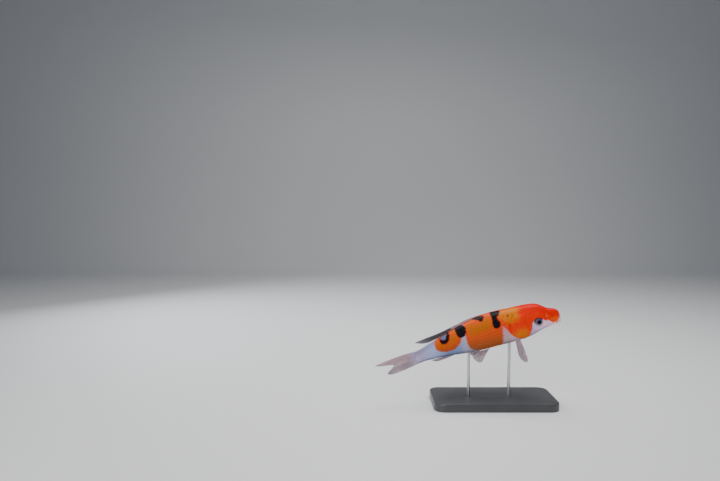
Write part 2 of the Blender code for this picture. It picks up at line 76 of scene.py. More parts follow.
# The straight body's curves, through (share, value) points: levels, half the width, and how full
# its section is above and below.
BACK = (
    (0.00, 0.022), (0.035, 0.0365), (0.07, 0.051), (0.105, 0.078), (0.14, 0.097), (0.18, 0.1045),
    (0.24, 0.109), (0.32, 0.1125), (0.42, 0.118), (0.50, 0.117), (0.60, 0.104), (0.71, 0.086),
    (0.80, 0.070), (0.88, 0.057), (0.95, 0.048), (1.00, 0.043), (1.05, 0.046),
)
BELLY = (
    (0.00, -0.064), (0.035, -0.068), (0.07, -0.073), (0.105, -0.079), (0.15, -0.089),
    (0.21, -0.106), (0.28, -0.116), (0.36, -0.120), (0.46, -0.120), (0.56, -0.118),
    (0.66, -0.108), (0.76, -0.088), (0.85, -0.068), (0.93, -0.053), (1.00, -0.043), (1.05, -0.046),
)
HALF_WIDTH = (
    (0.00, 0.029), (0.035, 0.036), (0.08, 0.047), (0.14, 0.062), (0.20, 0.072), (0.28, 0.0795),
    (0.36, 0.081), (0.46, 0.078), (0.56, 0.070), (0.66, 0.059), (0.76, 0.045), (0.86, 0.031),
    (0.94, 0.020), (1.00, 0.013), (1.05, 0.006),
)
WIDEST_LEVEL = (
    (0.00, -0.034), (0.08, -0.026), (0.16, -0.016), (0.26, -0.012), (0.40, -0.006),
    (0.60, -0.002), (0.80, 0.002), (1.05, 0.001),
)
BACK_FULLNESS = ((0.00, 2.1), (0.12, 2.5), (0.25, 2.35), (0.40, 2.1), (0.70, 2.0), (1.05, 2.0))
BELLY_FULLNESS = ((0.00, 2.1), (0.12, 2.3), (0.30, 2.45), (0.55, 2.35), (0.75, 2.1), (1.05, 2.0))
# The pose of the spine, through (share, degrees) points, and the gill slit, through (angle, share) ones.
TURN = ((-0.10, -9.0), (0.25, -8.0), (0.45, -3.0), (0.65, 5.0), (0.85, 15.0), (1.05, 25.0), (1.35, 32.0))
RISE = ((-0.10, 17.0), (0.50, 17.0), (0.80, 19.0), (1.00, 17.5), (1.35, 9.0))
ROLL = ((-0.10, 0.0), (0.75, 0.0), (1.00, -7.0), (1.35, -18.0))
GILL_LINE = ((0.0, 0.262), (40.0, 0.285), (75.0, 0.331), (105.0, 0.340), (140.0, 0.297), (180.0, 0.237))
EYE_PLACE = (0.147, 90.0)
EYE_RADIUS, EYE_THICKNESS, EYE_PROUD = 0.0325, 0.021, 0.011
SOCKET_DEPTH, BROW_HEIGHT = 0.016, 0.0045
MOUTH_LINE = (-0.0485, -0.12, -3.2)  # the slit's level, as a curve of the share
MOUTH_END = 0.043  # how far back the corner of the mouth is
# The lips, the slit and the folds beside them: (level above the slit, height, width).
MOUTH_FORMS = (
    (0.0080, 0.0048, 0.0052), (-0.0085, 0.0046, 0.0052), (0.0, -0.0080, 0.0021),
    (0.0175, -0.0030, 0.0026), (-0.0185, -0.0024, 0.0028),
)
NOSTRIL_ANGLE = 70.0
# The front pit, the flap and the rear pit of a nostril: (share, height, width).
NOSTRIL_FORMS = ((0.076, -0.0050, 0.0036), (0.0815, 0.0024, 0.0024), (0.088, -0.0062, 0.0044))
NOSTRIL_MIDDLE, NOSTRIL_RIM = 0.082, 0.0105
CHEEK_END = (0.224, 88.0, -1.7e-5)  # its furthest share, the angle of that, and how fast it draws back
GILL_RAYS_BEGIN, THROAT_END = 148.0, 0.25
VENT = 0.742
COAT_DEPTH = 0.0020  # that the skin lies under the tips of the scales
SKIN_END = 1.035


def spline(points):
    """A smooth function through (place, value) points: a natural cubic spline."""
    x, y = np.array(points, float).T
    step, count = np.diff(x), len(x)
    matrix, right = np.eye(count), np.zeros(count)
    for i in range(1, count - 1):
        matrix[i, i - 1 : i + 2] = step[i - 1], 2 * (step[i - 1] + step[i]), step[i]
        right[i] = 6 * ((y[i + 1] - y[i]) / step[i] - (y[i] - y[i - 1]) / step[i - 1])
    curve = np.linalg.solve(matrix, right)

    def value(at):
        at = np.clip(at, x[0], x[-1])
        i = np.clip(np.searchsorted(x, at) - 1, 0, count - 2)
        p, q, h = x[i + 1] - at, at - x[i], step[i]
        return (
            (curve[i] * p**3 + curve[i + 1] * q**3) / (6 * h)
            + (y[i] / h - curve[i] * h / 6) * p
            + (y[i + 1] / h - curve[i + 1] * h / 6) * q
        )

    return value


back, belly, half_width, widest_level = map(spline, (BACK, BELLY, HALF_WIDTH, WIDEST_LEVEL))
back_fullness, belly_fullness, gill_line = map(spline, (BACK_FULLNESS, BELLY_FULLNESS, GILL_LINE))


def signed_power(value, power):
    return np.sign(value) * np.abs(value) ** power


def step(value, low, high):
    """A smooth step from 0 at low to 1 at high."""
    t = np.clip((value - low) / (high - low), 0, 1)
    return t * t * (3 - 2 * t)


def bump(value, width):
    """1 at 0, and fading out smoothly over the width."""
    return np.exp(-((value / width) ** 2))


def on_skin(share, degrees):
    """A place on the straight fish: a share of its length, and an angle from the ridge, plus on its left."""
    share, angle = np.broadcast_arrays(np.asarray(share, float), np.radians(degrees))
    cap = np.sqrt(1 - np.clip(1 - (share - SNOUT) / SNOUT_ROUNDING, 0, 1) ** 2)
    middle = SNOUT_LEVEL + (widest_level(share) - SNOUT_LEVEL) * cap
    top = SNOUT_LEVEL + (back(share) - SNOUT_LEVEL) * cap
    bottom = SNOUT_LEVEL + (belly(share) - SNOUT_LEVEL) * cap
    upper = np.cos(angle) >= 0
    power = 2 / np.where(upper, back_fullness(share), belly_fullness(share))
    side = half_width(share) * cap * signed_power(np.sin(angle), power)
    level = middle + np.where(upper, top - middle, middle - bottom) * signed_power(np.cos(angle), power)
    return np.stack([-share, side, level], -1) * LENGTH


def skin_normal(share, degrees):
    """The outward direction of the straight fish's surface there."""
    small = 1e-3
    share = np.maximum(share, SNOUT + 2 * small)
    along = on_skin(share + small, degrees) - on_skin(share - small, degrees)
    round_it = on_skin(share, np.add(degrees, 0.5)) - on_skin(share, np.subtract(degrees, 0.5))
    normal = np.cross(round_it, along)
    return normal / np.linalg.norm(normal, axis=-1, keepdims=True)


def lifted(share, degrees, lift):
    """The place above the surface by a lift that is a share of the length."""
    return on_skin(share, degrees) + skin_normal(share, degrees) * np.expand_dims(lift, -1) * LENGTH


def spine_frames():
    """Places behind the snout, with the spine's points and its left and up directions in the pose."""
    share = np.linspace(-0.10, 1.35, 1451)
    turn, rise, roll = (np.radians(spline(table)(share)) for table in (TURN, RISE, ROLL))
    ahead = np.stack([np.cos(rise) * np.cos(turn), np.cos(rise) * np.sin(turn), np.sin(rise)], -1)
    level_left = np.stack([-np.sin(turn), np.cos(turn), np.zeros_like(turn)], -1)
    level_up = np.cross(ahead, level_left)
    left = level_left * np.cos(roll)[:, None] + level_up * np.sin(roll)[:, None]
    up = np.cross(ahead, left)
    steps = -(ahead[1:] + ahead[:-1]) / 2 * np.diff(share)[:, None] * LENGTH
    points = np.concatenate([np.zeros((1, 3)), np.cumsum(steps, axis=0)])
    centre = np.array([np.interp(SPINE_CENTRE, share, points[:, i]) for i in range(3)])
    return share, points - centre + (0, 0, SPINE_HEIGHT), left, up


SPINE = spine_frames()


def posed(points):
    """Points of the straight fish, moved to where they are on the bent one."""
    points = np.asarray(points, float)
    places, spine, left, up = SPINE
    share = -points[..., 0] / LENGTH

    def there(table):
        return np.stack([np.interp(share, places, column) for column in table.T], -1)

    return there(spine) + there(left) * points[..., 1:2] + there(up) * points[..., 2:3]


def scaled_skin(share, degrees):
    """0 on the bare head, 1 behind it."""
    return step(share - gill_line(np.abs(degrees)), 0.002, 0.014)


def mouth_relief(share, level):
    """Two soft lips and the folds beside them, round a mouth that slopes back to its corner."""
    above = level - sum(factor * share**power for power, factor in enumerate(MOUTH_LINE))
    fade = 1 - step(share, MOUTH_END - 0.008, MOUTH_END + 0.008)
    return sum(height * bump(above - middle, width) for middle, height, width in MOUTH_FORMS) * fade


def nostril_relief(place):
    """Two small pits with a flap between them and a rim round them, on each side of the snout."""

    def apart(share):
        return np.linalg.norm(place - on_skin(share, NOSTRIL_ANGLE) / LENGTH, axis=-1)

    relief = sum(height * bump(apart(share), width) for share, height, width in NOSTRIL_FORMS)
    return relief + 0.0016 * bump(apart(NOSTRIL_MIDDLE) - NOSTRIL_RIM, 0.0026)


def eye_relief(place):
    """The socket, its rim, the fold round it and the brow above."""
    centre = on_skin(*EYE_PLACE) / LENGTH
    offset = place - centre
    apart = np.linalg.norm(offset, axis=-1) / EYE_RADIUS
    upright = np.abs(offset[..., 2]) / (EYE_RADIUS * np.maximum(apart, 1e-6))
    opening = apart * (1 + 0.15 * upright**2)
    socket = -SOCKET_DEPTH * (1 - step(opening, 0.84, 0.99))
    rim = (0.0020 + 0.0022 * upright**2) * bump(opening - 1.05, 0.08)
    fold = -0.0014 * bump(apart - 1.33, 0.10)
    from_brow = np.linalg.norm(offset - (0.004, 0, 0.036), axis=-1)
    brow = BROW_HEIGHT * bump(from_brow, 0.022) * step(apart, 1.0, 1.1)
    return socket + rim + fold + brow


def plate_relief(share, angle):
    """The cheek, the plates over the gills and the rays of the gill skin under the throat."""
    furthest, middle, curve = CHEEK_END
    cheek_end = furthest + curve * (angle - middle) ** 2
    band = step(angle, 52, 66) * (1 - step(angle, 152, 164))
    cheek = -0.0030 * bump(share - cheek_end, 0.0030) * band
    swell = 0.0026 * step(share, cheek_end, cheek_end + 0.020) * band
    seam_at = 121 + 140 * (share - cheek_end)
    seam = -0.0012 * bump(angle - seam_at, 1.6) * step(share, cheek_end, cheek_end + 0.006)
    fan = np.arctan2(angle - 70, (share - cheek_end + 0.012) * 900)
    ridges = 0.0003 * np.sin(fan * 42) * step(share, cheek_end + 0.010, cheek_end + 0.030) * band
    rays = np.abs(np.sin(np.radians((angle - GILL_RAYS_BEGIN) * 20))) - 0.6
    under = step(angle, 150, 156) * (1 - step(angle, 173, 177)) * step(share, 0.125, 0.160)
    throat = -0.0042 * bump(180 - angle, 3.2) * step(share, 0.105, 0.135)
    throat = throat * (1 - step(share, THROAT_END - 0.025, THROAT_END))
    plates = swell + seam + ridges + 0.0016 * rays * under + throat
    return cheek + plates * (share < gill_line(angle) + 0.002)


def face_relief(share, degrees):
    """How far the skin stands out from the plain body, as a share of the length."""
    place = on_skin(share, np.abs(degrees)) / LENGTH
    angle = np.abs(degrees)
    relief = mouth_relief(share, place[..., 2]) + nostril_relief(place) + eye_relief(place)
    relief = relief + plate_relief(share, angle)
    vent = 0.0022 * bump(np.hypot(share - VENT, (180 - angle) / 900) - 0.008, 0.0035)
    return relief + vent - COAT_DEPTH * scaled_skin(share, degrees)


def head_rings(count):
    """Shares of the way from the snout to the gill slit, closer together at the snout."""
    fine = SNOUT + np.linspace(0, 1, 4001) ** 2 * (0.29 - SNOUT)
    place = on_skin(fine, 90.0) / LENGTH
    steps = np.linalg.norm(np.diff(place, axis=0), axis=-1) * (1 + 1.4 * (1 - step(fine[1:], 0.05, 0.12)))
    way = np.concatenate([[0], np.cumsum(steps)]) / steps.sum()
    return (np.interp(np.linspace(0, 1, count), way, fine) - SNOUT) / (0.29 - SNOUT)


AROUND = 176
HEAD_RINGS, BODY_RINGS = 150, 146
# The free edge of the gill cover and the slit behind it: (way along the body, lift) of each ring.
GILL_EDGE = (
    (-0.0040, 0.0032), (-0.0018, 0.0033), (-0.0004, 0.0029), (0.0004, 0.0018), (0.0003, 0.0002),
    (-0.0014, -0.0016), (-0.0046, -0.0032), (-0.0080, -0.0046), (-0.0070, -0.0066), (-0.0030, -0.0060),
    (0.0020, -0.0042), (0.0070, -0.0028),
)
GILL_EDGE_SPAN = (-0.0066, 0.0090)  # the same rings where the cover isn't free
BEHIND_SLIT = 0.0105  # where the rings of the trunk begin


def skin_rings():
    """(share, degrees, lift) of every point of the skin, ring by ring from the snout to the tail."""
    degrees = np.arange(AROUND) * 360 / AROUND
    degrees = np.where(degrees > 180, degrees - 360, degrees)
    angle = np.abs(degrees)
    slit = gill_line(angle)
    opening = step(angle, 36, 54) * (1 - step(angle, 164, 176))
    rings = [SNOUT + (slit - 0.008 - SNOUT) * way for way in head_rings(HEAD_RINGS)[1:]]
    rings = [(share, face_relief(share, degrees)) for share in rings]
    plain = np.linspace(*GILL_EDGE_SPAN, len(GILL_EDGE))
    for (along, lift), flat in zip(GILL_EDGE, plain):
        share = slit + flat + (along - flat) * opening
        rings.append((share, face_relief(slit + flat, degrees) * (1 - opening) + lift * opening))
    for way in np.linspace(0, 1, BODY_RINGS) ** 0.96:
        share = slit + BEHIND_SLIT + (SKIN_END - slit - BEHIND_SLIT) * way
        settle = opening * (1 - step(share - slit, 0.010, 0.020))
        rings.append((share, face_relief(share, degrees) * (1 - settle) - 0.0022 * settle))
    return [(share, degrees, lift) for share, lift in rings]


def add_mesh(name, points, faces, finish):
    """One object at the origin, its faces turned outwards and shaded smooth."""
    mesh = bpy.data.meshes.new(name)
    mesh.from_pydata(np.asarray(points, float).tolist(), [], faces)
    shape = bmesh.new()
    shape.from_mesh(mesh)
    bmesh.ops.recalc_face_normals(shape, faces=shape.faces)
    shape.to_mesh(mesh)
    shape.free()
    mesh.shade_smooth()
    mesh.materials.append(finish)
    made = bpy.data.objects.new(name, mesh)
    bpy.context.scene.collection.objects.link(made)
    return made


def give(piece, name, values):
    """Stores one number or one vector for each point of the piece."""
    values = np.asarray(values, np.float32)
    vector = values.ndim == 2
    layer = piece.data.attributes.new(name, "FLOAT_VECTOR" if vector else "FLOAT", "POINT")
    layer.data.foreach_set("vector" if vector else "value", values.ravel())


class Signal:
    """A socket of a material's nodes. Arithmetic on it adds the nodes that work it out."""

    def __init__(self, paint, socket):
        self.paint, self.socket = paint, socket

    def math(self, operation, *values):
        numbers = {i: value for i, value in enumerate(values)}
        return self.paint.node("ShaderNodeMath", {"operation": operation}, numbers)

    def __add__(self, other):
        return self.math("ADD", self, other)

    def __sub__(self, other):
        return self.math("SUBTRACT", self, other)

    def __rsub__(self, other):
        return self.math("SUBTRACT", other, self)

    def __mul__(self, other):
        return self.math("MULTIPLY", self, other)

    def __truediv__(self, other):
        return self.math("DIVIDE", self, other)

    __radd__, __rmul__ = __add__, __mul__

    def most(self, other):
        return self.math("MAXIMUM", self, other)

    def size(self):
        return self.math("ABSOLUTE", self)

    def step(self, low, high):
        """A smooth step from 0 at low to 1 at high, which may be the lower number."""
        settings = {"interpolation_type": "SMOOTHSTEP"}
        sockets = {"Value": self, "From Min": min(low, high), "From Max": max(low, high)}
        if low > high:
            sockets |= {"To Min": 1.0, "To Max": 0.0}
        return self.paint.node("ShaderNodeMapRange", settings, sockets)


class Paint:
    """A material under construction."""

    def __init__(self, name):
        self.material = bpy.data.materials.new(name)
        self.material.use_nodes = True
        self.tree = self.material.node_tree
        self.shader = self.tree.nodes["Principled BSDF"]

    def connect(self, socket, value):
        if isinstance(value, Signal):
            self.tree.links.new(value.socket, socket)
        elif isinstance(value, tuple) and len(value) == 3 and socket.type == "RGBA":
            socket.default_value = (*value, 1)
        else:
            socket.default_value = value

    def node(self, kind, settings=None, sockets=None, output=0):
        """Any node: its settings are set first, then its sockets' values or links, by name or number."""
        made = self.tree.nodes.new(kind)
        for name, value in (settings or {}).items():
            if name == "stops":
                ramp = made.color_ramp.elements
                while len(ramp) < len(value):
                    ramp.new(0.5)
                for element, (place, colour) in zip(ramp, value):
                    element.position, element.color = place, (*colour, 1)
            else:
                setattr(made, name, value)
        for key, value in (sockets or {}).items():
            if isinstance(key, int):
                socket = made.inputs[key]
            else:
                socket = next(s for s in made.inputs if key in (s.identifier, s.name))
            self.connect(socket, value)
        return Signal(self, made.outputs[output])

    def stored(self, name, output="Fac"):
        return self.node("ShaderNodeAttribute", {"attribute_name": name}, output=output)

    def noise(self, vector, scale, detail=3.0, rough=0.5, output="Fac"):
        sockets = {"Vector": vector, "Scale": scale, "Detail": detail, "Roughness": rough}
        return self.node("ShaderNodeTexNoise", None, sockets, output)

    def blend(self, factor, low, high):
        """The low colour where the factor is 0, and the high one where it is 1."""
        settings = {"data_type": "RGBA"}
        sockets = {"Factor_Float": factor, "A_Color": low, "B_Color": high}
        return self.node("ShaderNodeMix", settings, sockets, 2)

    def bump(self, height, strength, distance):
        sockets = {"Height": height, "Strength": strength, "Distance": distance}
        return self.node("ShaderNodeBump", None, sockets)

    def finish(self, **sockets):
        """Sets the shader's sockets. Names have _ for a space."""
        for name, value in sockets.items():
            self.connect(self.shader.inputs[name.replace("_", " ")], value)
        return self.material


# Patches of colour: outlines through (share of the length, way round from the back's ridge) points,
# where the way round is a share of the length too, minus on the fish's right and plus on its left.
RED_PATCHES = (
    # the cap from the snout over the nape, down to the eyes and over both gill covers
    (
        (-0.002, 0.0), (0.000, -0.038), (0.005, -0.058), (0.014, -0.080), (0.026, -0.102), (0.042, -0.117),
        (0.055, -0.117), (0.066, -0.111), (0.080, -0.109), (0.099, -0.122), (0.128, -0.124),
        (0.180, -0.146), (0.196, -0.182), (0.210, -0.211), (0.225, -0.245), (0.245, -0.268),
        (0.290, -0.262), (0.325, -0.232), (0.350, -0.203), (0.374, -0.158), (0.392, -0.140),
        (0.410, -0.110), (0.405, 0.020), (0.360, 0.085), (0.330, 0.120), (0.310, 0.185), (0.265, 0.215),
        (0.215, 0.180), (0.175, 0.140), (0.110, 0.112), (0.065, 0.098), (0.028, 0.090),
        (0.006, 0.060), (0.000, 0.036),
    ),
    # the right flank: the saddle over the middle, and the one before the tail
    (
        (0.380, 0.010), (0.384, -0.110), (0.394, -0.158), (0.402, -0.200), (0.412, -0.250), (0.432, -0.278),
        (0.475, -0.290), (0.547, -0.270), (0.610, -0.234), (0.650, -0.190), (0.660, -0.125),
        (0.652, -0.060), (0.640, -0.020), (0.640, 0.008),
    ),
    (
        (0.660, 0.010), (0.662, -0.050), (0.685, -0.088), (0.710, -0.118), (0.755, -0.138),
        (0.815, -0.122), (0.860, -0.092), (0.882, -0.062), (0.876, -0.020), (0.840, 0.004),
        (0.760, 0.012),
    ),
    # the left flank
    (
        (0.470, -0.005), (0.455, 0.060), (0.470, 0.120), (0.500, 0.200), (0.560, 0.230),
        (0.620, 0.190), (0.655, 0.110), (0.650, 0.040), (0.640, -0.005),
    ),
    ((0.395, 0.150), (0.420, 0.130), (0.440, 0.165), (0.425, 0.215), (0.395, 0.205)),
    (
        (0.735, -0.002), (0.730, 0.050), (0.760, 0.100), (0.815, 0.110), (0.860, 0.075),
        (0.850, 0.020), (0.820, -0.002),
    ),
)
GOLD_PATCHES = (
    # yellow on the nape, on the lower gill covers, beside the mouth and in the saddles
    ((0.262, -0.015), (0.265, -0.090), (0.300, -0.125), (0.340, -0.130), (0.385, -0.100), (0.390, -0.010)),
    ((0.235, -0.195), (0.240, -0.262), (0.300, -0.262), (0.325, -0.215), (0.290, -0.185)),
    ((0.004, -0.062), (0.010, -0.105), (0.050, -0.114), (0.066, -0.100), (0.048, -0.080), (0.026, -0.062)),
    ((0.470, -0.040), (0.465, -0.120), (0.540, -0.130), (0.620, -0.110), (0.625, -0.040), (0.550, -0.060)),
    ((0.720, -0.020), (0.715, -0.070), (0.760, -0.095), (0.850, -0.075), (0.860, -0.030), (0.800, -0.080)),
    ((0.300, 0.010), (0.290, 0.080), (0.330, 0.110), (0.350, 0.060), (0.345, 0.010)),
    ((0.240, 0.130), (0.230, 0.175), (0.275, 0.195), (0.300, 0.160)),
    ((0.500, 0.110), (0.520, 0.180), (0.590, 0.170), (0.600, 0.110)),
    ((0.760, 0.020), (0.770, 0.070), (0.830, 0.070), (0.830, 0.025)),
)
BLACK_PATCHES = (
    # the right flank
    (
        (0.444, -0.004), (0.445, -0.045), (0.446, -0.075), (0.452, -0.101), (0.450, -0.124),
        (0.436, -0.135), (0.415, -0.134), (0.402, -0.118), (0.400, -0.098), (0.410, -0.081),
        (0.409, -0.062), (0.394, -0.049), (0.380, -0.030), (0.386, -0.008), (0.410, 0.000),
    ),
    (
        (0.570, 0.000), (0.562, -0.017), (0.549, -0.031), (0.537, -0.040), (0.527, -0.054), (0.509, -0.053),
        (0.505, -0.043), (0.492, -0.035), (0.499, -0.020), (0.516, -0.010), (0.540, 0.002),
    ),
    (
        (0.700, -0.002), (0.710, -0.030), (0.708, -0.068), (0.686, -0.090), (0.652, -0.084),
        (0.640, -0.046), (0.658, -0.003),
    ),
    (
        (0.812, 0.004), (0.758, 0.002), (0.756, -0.012), (0.764, -0.042), (0.782, -0.062), (0.803, -0.069),
        (0.830, -0.053), (0.836, -0.028), (0.826, -0.012),
    ),
    ((0.332, -0.070), (0.338, -0.066), (0.344, -0.074), (0.338, -0.081)),
    ((0.366, -0.059), (0.371, -0.056), (0.375, -0.063), (0.369, -0.067)),
    # the left flank
    (
        (0.372, 0.004), (0.350, 0.040), (0.356, 0.085), (0.375, 0.120), (0.392, 0.100),
        (0.388, 0.050), (0.400, 0.010),
    ),
    ((0.505, 0.004), (0.495, 0.050), (0.512, 0.095), (0.535, 0.085), (0.530, 0.030)),
    ((0.600, 0.120), (0.640, 0.095), (0.668, 0.110), (0.672, 0.150), (0.640, 0.165), (0.612, 0.150)),
    ((0.700, 0.000), (0.698, 0.035), (0.722, 0.060), (0.745, 0.040), (0.738, 0.004)),
    ((0.850, 0.050), (0.842, 0.075), (0.868, 0.095), (0.890, 0.070)),
    ((0.180, 0.070), (0.172, 0.088), (0.190, 0.104), (0.206, 0.092), (0.200, 0.072)),
)
# Flecks inside the black where the blue-white ground shows.
ASH_PATCHES = (
    ((0.817, -0.008), (0.780, -0.006), (0.775, -0.014), (0.786, -0.028), (0.802, -0.040), (0.823, -0.025)),
    ((0.652, 0.115), (0.640, 0.118), (0.642, 0.138), (0.656, 0.136)),
)


def rounded(outline, pieces=4):
    """The outline through the same points, with curves for its straight runs."""
    here = np.array(outline)
    before, after, beyond = (np.roll(here, by, axis=0) for by in (1, -1, -2))
    t = np.arange(pieces)[:, None, None] / pieces
    curve = 2 * here + (after - before) * t + (2 * before - 5 * here + 4 * after - beyond) * t**2
    curve = (curve + (3 * here - before - 3 * after + beyond) * t**3) / 2
    return curve.transpose(1, 0, 2).reshape(-1, 2)


def patch_depth(share, round_it, patches):
    """How deep a place lies inside the nearest patch, as a share of the length; it is below 0 outside."""
    place = np.stack([share, round_it], -1)
    deepest = np.full(len(place), -1.0)
    for patch in patches:
        corners = rounded(patch)
        nearest, inside = np.full(len(place), 9.0), np.zeros(len(place), bool)
        for a, b in zip(corners, np.roll(corners, -1, axis=0)):
            run, here = b - a, place - a
            t = np.clip(here @ run / (run @ run), 0, 1)
            nearest = np.minimum(nearest, np.linalg.norm(here - t[:, None] * run, axis=-1))
            crosses = (a[1] > place[:, 1]) != (b[1] > place[:, 1])
            inside ^= crosses & (here[:, 0] < here[:, 1] / (run[1] or 1.0) * run[0])
        deepest = np.maximum(deepest, np.where(inside, nearest, -nearest))
    return deepest


ARC_SHARES = np.linspace(0, 1.05, 211)
ARC_ANGLES = np.linspace(0, 180, 181)
ARC_STEPS = np.linalg.norm(np.diff(on_skin(ARC_SHARES[:, None], ARC_ANGLES[None, :]), axis=1), axis=-1)
ARC = np.concatenate([np.zeros((len(ARC_SHARES), 1)), np.cumsum(ARC_STEPS, axis=1)], axis=1) / LENGTH


def from_grid(table, share, column):
    """A value between those of a table that has a row for each of ARC_SHARES."""
    row = np.clip(share / ARC_SHARES[1], 0, len(ARC_SHARES) - 1.001)
    column = np.clip(column, 0, table.shape[1] - 1.001)
    i, j = row.astype(int), column.astype(int)
    p, q = row - i, column - j
    near = table[i, j] * (1 - q) + table[i, j + 1] * q
    far = table[i + 1, j] * (1 - q) + table[i + 1, j + 1] * q
    return near * (1 - p) + far * p


def way_round(share, degrees):
    """The distance over the surface from the back's ridge, as a share of the length, minus on the right."""
    share, degrees = np.broadcast_arrays(share, degrees)
    return np.sign(degrees) * from_grid(ARC, share, np.abs(degrees))


def give_markings(piece, share, degrees):
    """Stores where each point lies on the straight fish, and how deep it is in the patches of each colour."""
    share, degrees = (np.ravel(values) for values in np.broadcast_arrays(share, degrees))
    round_it = way_round(share, degrees)
    give(piece, "place", np.stack([share, round_it, np.abs(degrees) / 180], -1))
    kinds = (RED_PATCHES, GOLD_PATCHES, BLACK_PATCHES, ASH_PATCHES)
    red, gold, black, ash = (patch_depth(share, round_it, patches) for patches in kinds)
    give(piece, "red", np.minimum(red, -ash))
    give(piece, "gold", gold)
    give(piece, "black", np.minimum(black, -ash - 0.001))
    give(piece, "ash", ash)


# The white ground's colour by the share of the length: rosy on the face, steel blue on the stalk.
# Its darker stops, at the gill cover and on the rear half of the flank, are painted shade.
WHITE_AND_SHADE_STOPS = (
    (0.00, (0.90, 0.60, 0.66)), (0.07, (0.94, 0.60, 0.72)), (0.11, (0.94, 0.62, 0.88)),
    (0.17, (0.72, 0.54, 0.82)), (0.22, (0.46, 0.38, 0.56)), (0.33, (0.66, 0.50, 0.62)),
    (0.37, (0.56, 0.37, 0.40)), (0.60, (0.30, 0.30, 0.42)), (0.68, (0.45, 0.42, 0.58)),
    (0.72, (0.22, 0.31, 0.58)), (0.80, (0.20, 0.26, 0.46)), (0.86, (0.34, 0.44, 0.80)),
    (0.91, (0.44, 0.54, 0.86)), (0.96, (0.47, 0.49, 0.80)), (1.00, (0.52, 0.46, 0.70)),
)
LAVENDER, STEEL_BLUE, ASH_BLUE = (0.68, 0.54, 0.70), (0.22, 0.27, 0.50), (0.11, 0.17, 0.34)
PAINTED_SHADE_GREY = (0.10, 0.10, 0.15)
RIDGE_RED, SIDE_RED, SADDLE_ORANGE = (0.66, 0.003, 0.0005), (0.86, 0.022, 0.0005), (0.78, 0.070, 0.003)
SHADED_LOW_BRICK, GILL_ORANGE, CLOUD_ORANGE = (0.36, 0.085, 0.018), (0.82, 0.110, 0.003), (0.70, 0.14, 0.004)
SADDLE_GOLD, NAPE_GOLD = (0.52, 0.140, 0.002), (0.68, 0.195, 0.0005)
GILL_GOLD, SNOUT_GOLD = (0.70, 0.175, 0.004), (0.94, 0.110, 0.0005)
NOSTRIL_GLINT_PINK, BROWN_FLECKS = (0.95, 0.26, 0.12), (0.22, 0.060, 0.006)
INK, WORN_INK = (0.003, 0.003, 0.006), (0.018, 0.014, 0.022)


def white_ground(paint, place, share, low, ridge):
    """The colour between the patches: clouded with lavender and blue, with painted shade on the belly and a
    painted shadow of the back fin along the ridge.
    """
    ramp = paint.node("ShaderNodeValToRGB", {"stops": WHITE_AND_SHADE_STOPS}, {"Fac": share}, "Color")
    cloud = paint.noise(place, 60.0, 2.0)
    white = paint.blend(cloud.step(0.48, 0.75) * 0.30, ramp, LAVENDER)
    white = paint.blend(cloud.step(0.48, 0.28) * 0.35 * share.step(0.20, 0.40), white, STEEL_BLUE)
    white = paint.blend(paint.stored("ash").step(-0.004, 0.003), white, ASH_BLUE)
    # Painted shade: the underside from the throat back turns grey, and the ridge behind mid-body darkens as
    # the back fin's painted shadow.
    painted_shade = low.step(0.68, 0.90) * share.step(0.03, 0.14) * 0.75
    painted_shade = painted_shade.most(ridge.step(0.050, 0.012) * share.step(0.56, 0.64) * 0.5)
    return paint.blend(painted_shade, white, PAINTED_SHADE_GREY)


def red_patch(paint, place, share, low, ridge, crumble):
    """The red: deep on the ridge, orange on the trunk and a darker brick low on it that is painted shade,
    mottled with gold and brown, with a faint pink spot on each nostril painted as its highlight.
    """
    gold = paint.stored("gold") + (paint.noise(place, 40.0, 4.0, 0.6) - 0.5) * 0.130 + crumble * 0.030
    gold = gold.step(-0.020, 0.024)
    cloud = paint.noise(place, 34.0, 3.0)
    trunk = share.step(0.36, 0.44)
    flame = paint.blend(ridge.step(0.03, 0.11), RIDGE_RED, SIDE_RED)
    flame = paint.blend(trunk, flame, SADDLE_ORANGE)
    # Painted shade: the red darkens to brick low on the trunk.
    flame = paint.blend(low.step(0.42, 0.70) * trunk, flame, SHADED_LOW_BRICK)
    gill = low.step(0.46, 0.62) * share.step(0.20, 0.24) * share.step(0.37, 0.33)
    flame = paint.blend(gill * 0.5, flame, GILL_ORANGE)
    flame = paint.blend(cloud.step(0.50, 0.80) * trunk * 0.5, flame, CLOUD_ORANGE)
    yellow = paint.blend(share.step(0.44, 0.40), SADDLE_GOLD, NAPE_GOLD)
    yellow = paint.blend(gill, yellow, GILL_GOLD)
    yellow = paint.blend(share.step(0.16, 0.10), yellow, SNOUT_GOLD)
    flame = paint.blend(gold * 0.9, flame, yellow)
    # A faint pink spot on each nostril, painted as its highlight.
    nostril = (share - 0.083).size() + (ridge - 0.077).size() * 0.7
    flame = paint.blend(nostril.step(0.015, 0.003) * 0.30, flame, NOSTRIL_GLINT_PINK)
    return paint.blend(crumble.step(0.05, 0.22) * gold.most(gill) * 0.6, flame, BROWN_FLECKS)


def koi_colour(paint):
    """The fish's colour at each point, and how black it is there."""
    place = paint.stored("place", "Vector")
    share, round_it, low = (
        paint.node("ShaderNodeSeparateXYZ", None, {"Vector": place}, axis) for axis in "XYZ"
    )
    ridge = round_it.size()
    wander = paint.noise(place, 26.0, 4.0, 0.55) - 0.5
    crumble = paint.noise(place, 120.0, 3.0, 0.6) - 0.5
    blur = 1 + share.step(0.350, 0.375) * share.step(0.440, 0.415) * 1.6
    red = ((paint.stored("red") + wander * 0.018 + crumble * 0.012) / blur).step(-0.004, 0.005)
    black = (paint.stored("black") + wander * 0.024 + crumble * 0.018).step(-0.0055, 0.0035)
    white = white_ground(paint, place, share, low, ridge)
    colour = paint.blend(red, white, red_patch(paint, place, share, low, ridge, crumble))
    ink = paint.blend(paint.noise(place, 90.0, 3.0).step(0.40, 0.75), INK, WORN_INK)
    return paint.blend(black, colour, ink), black


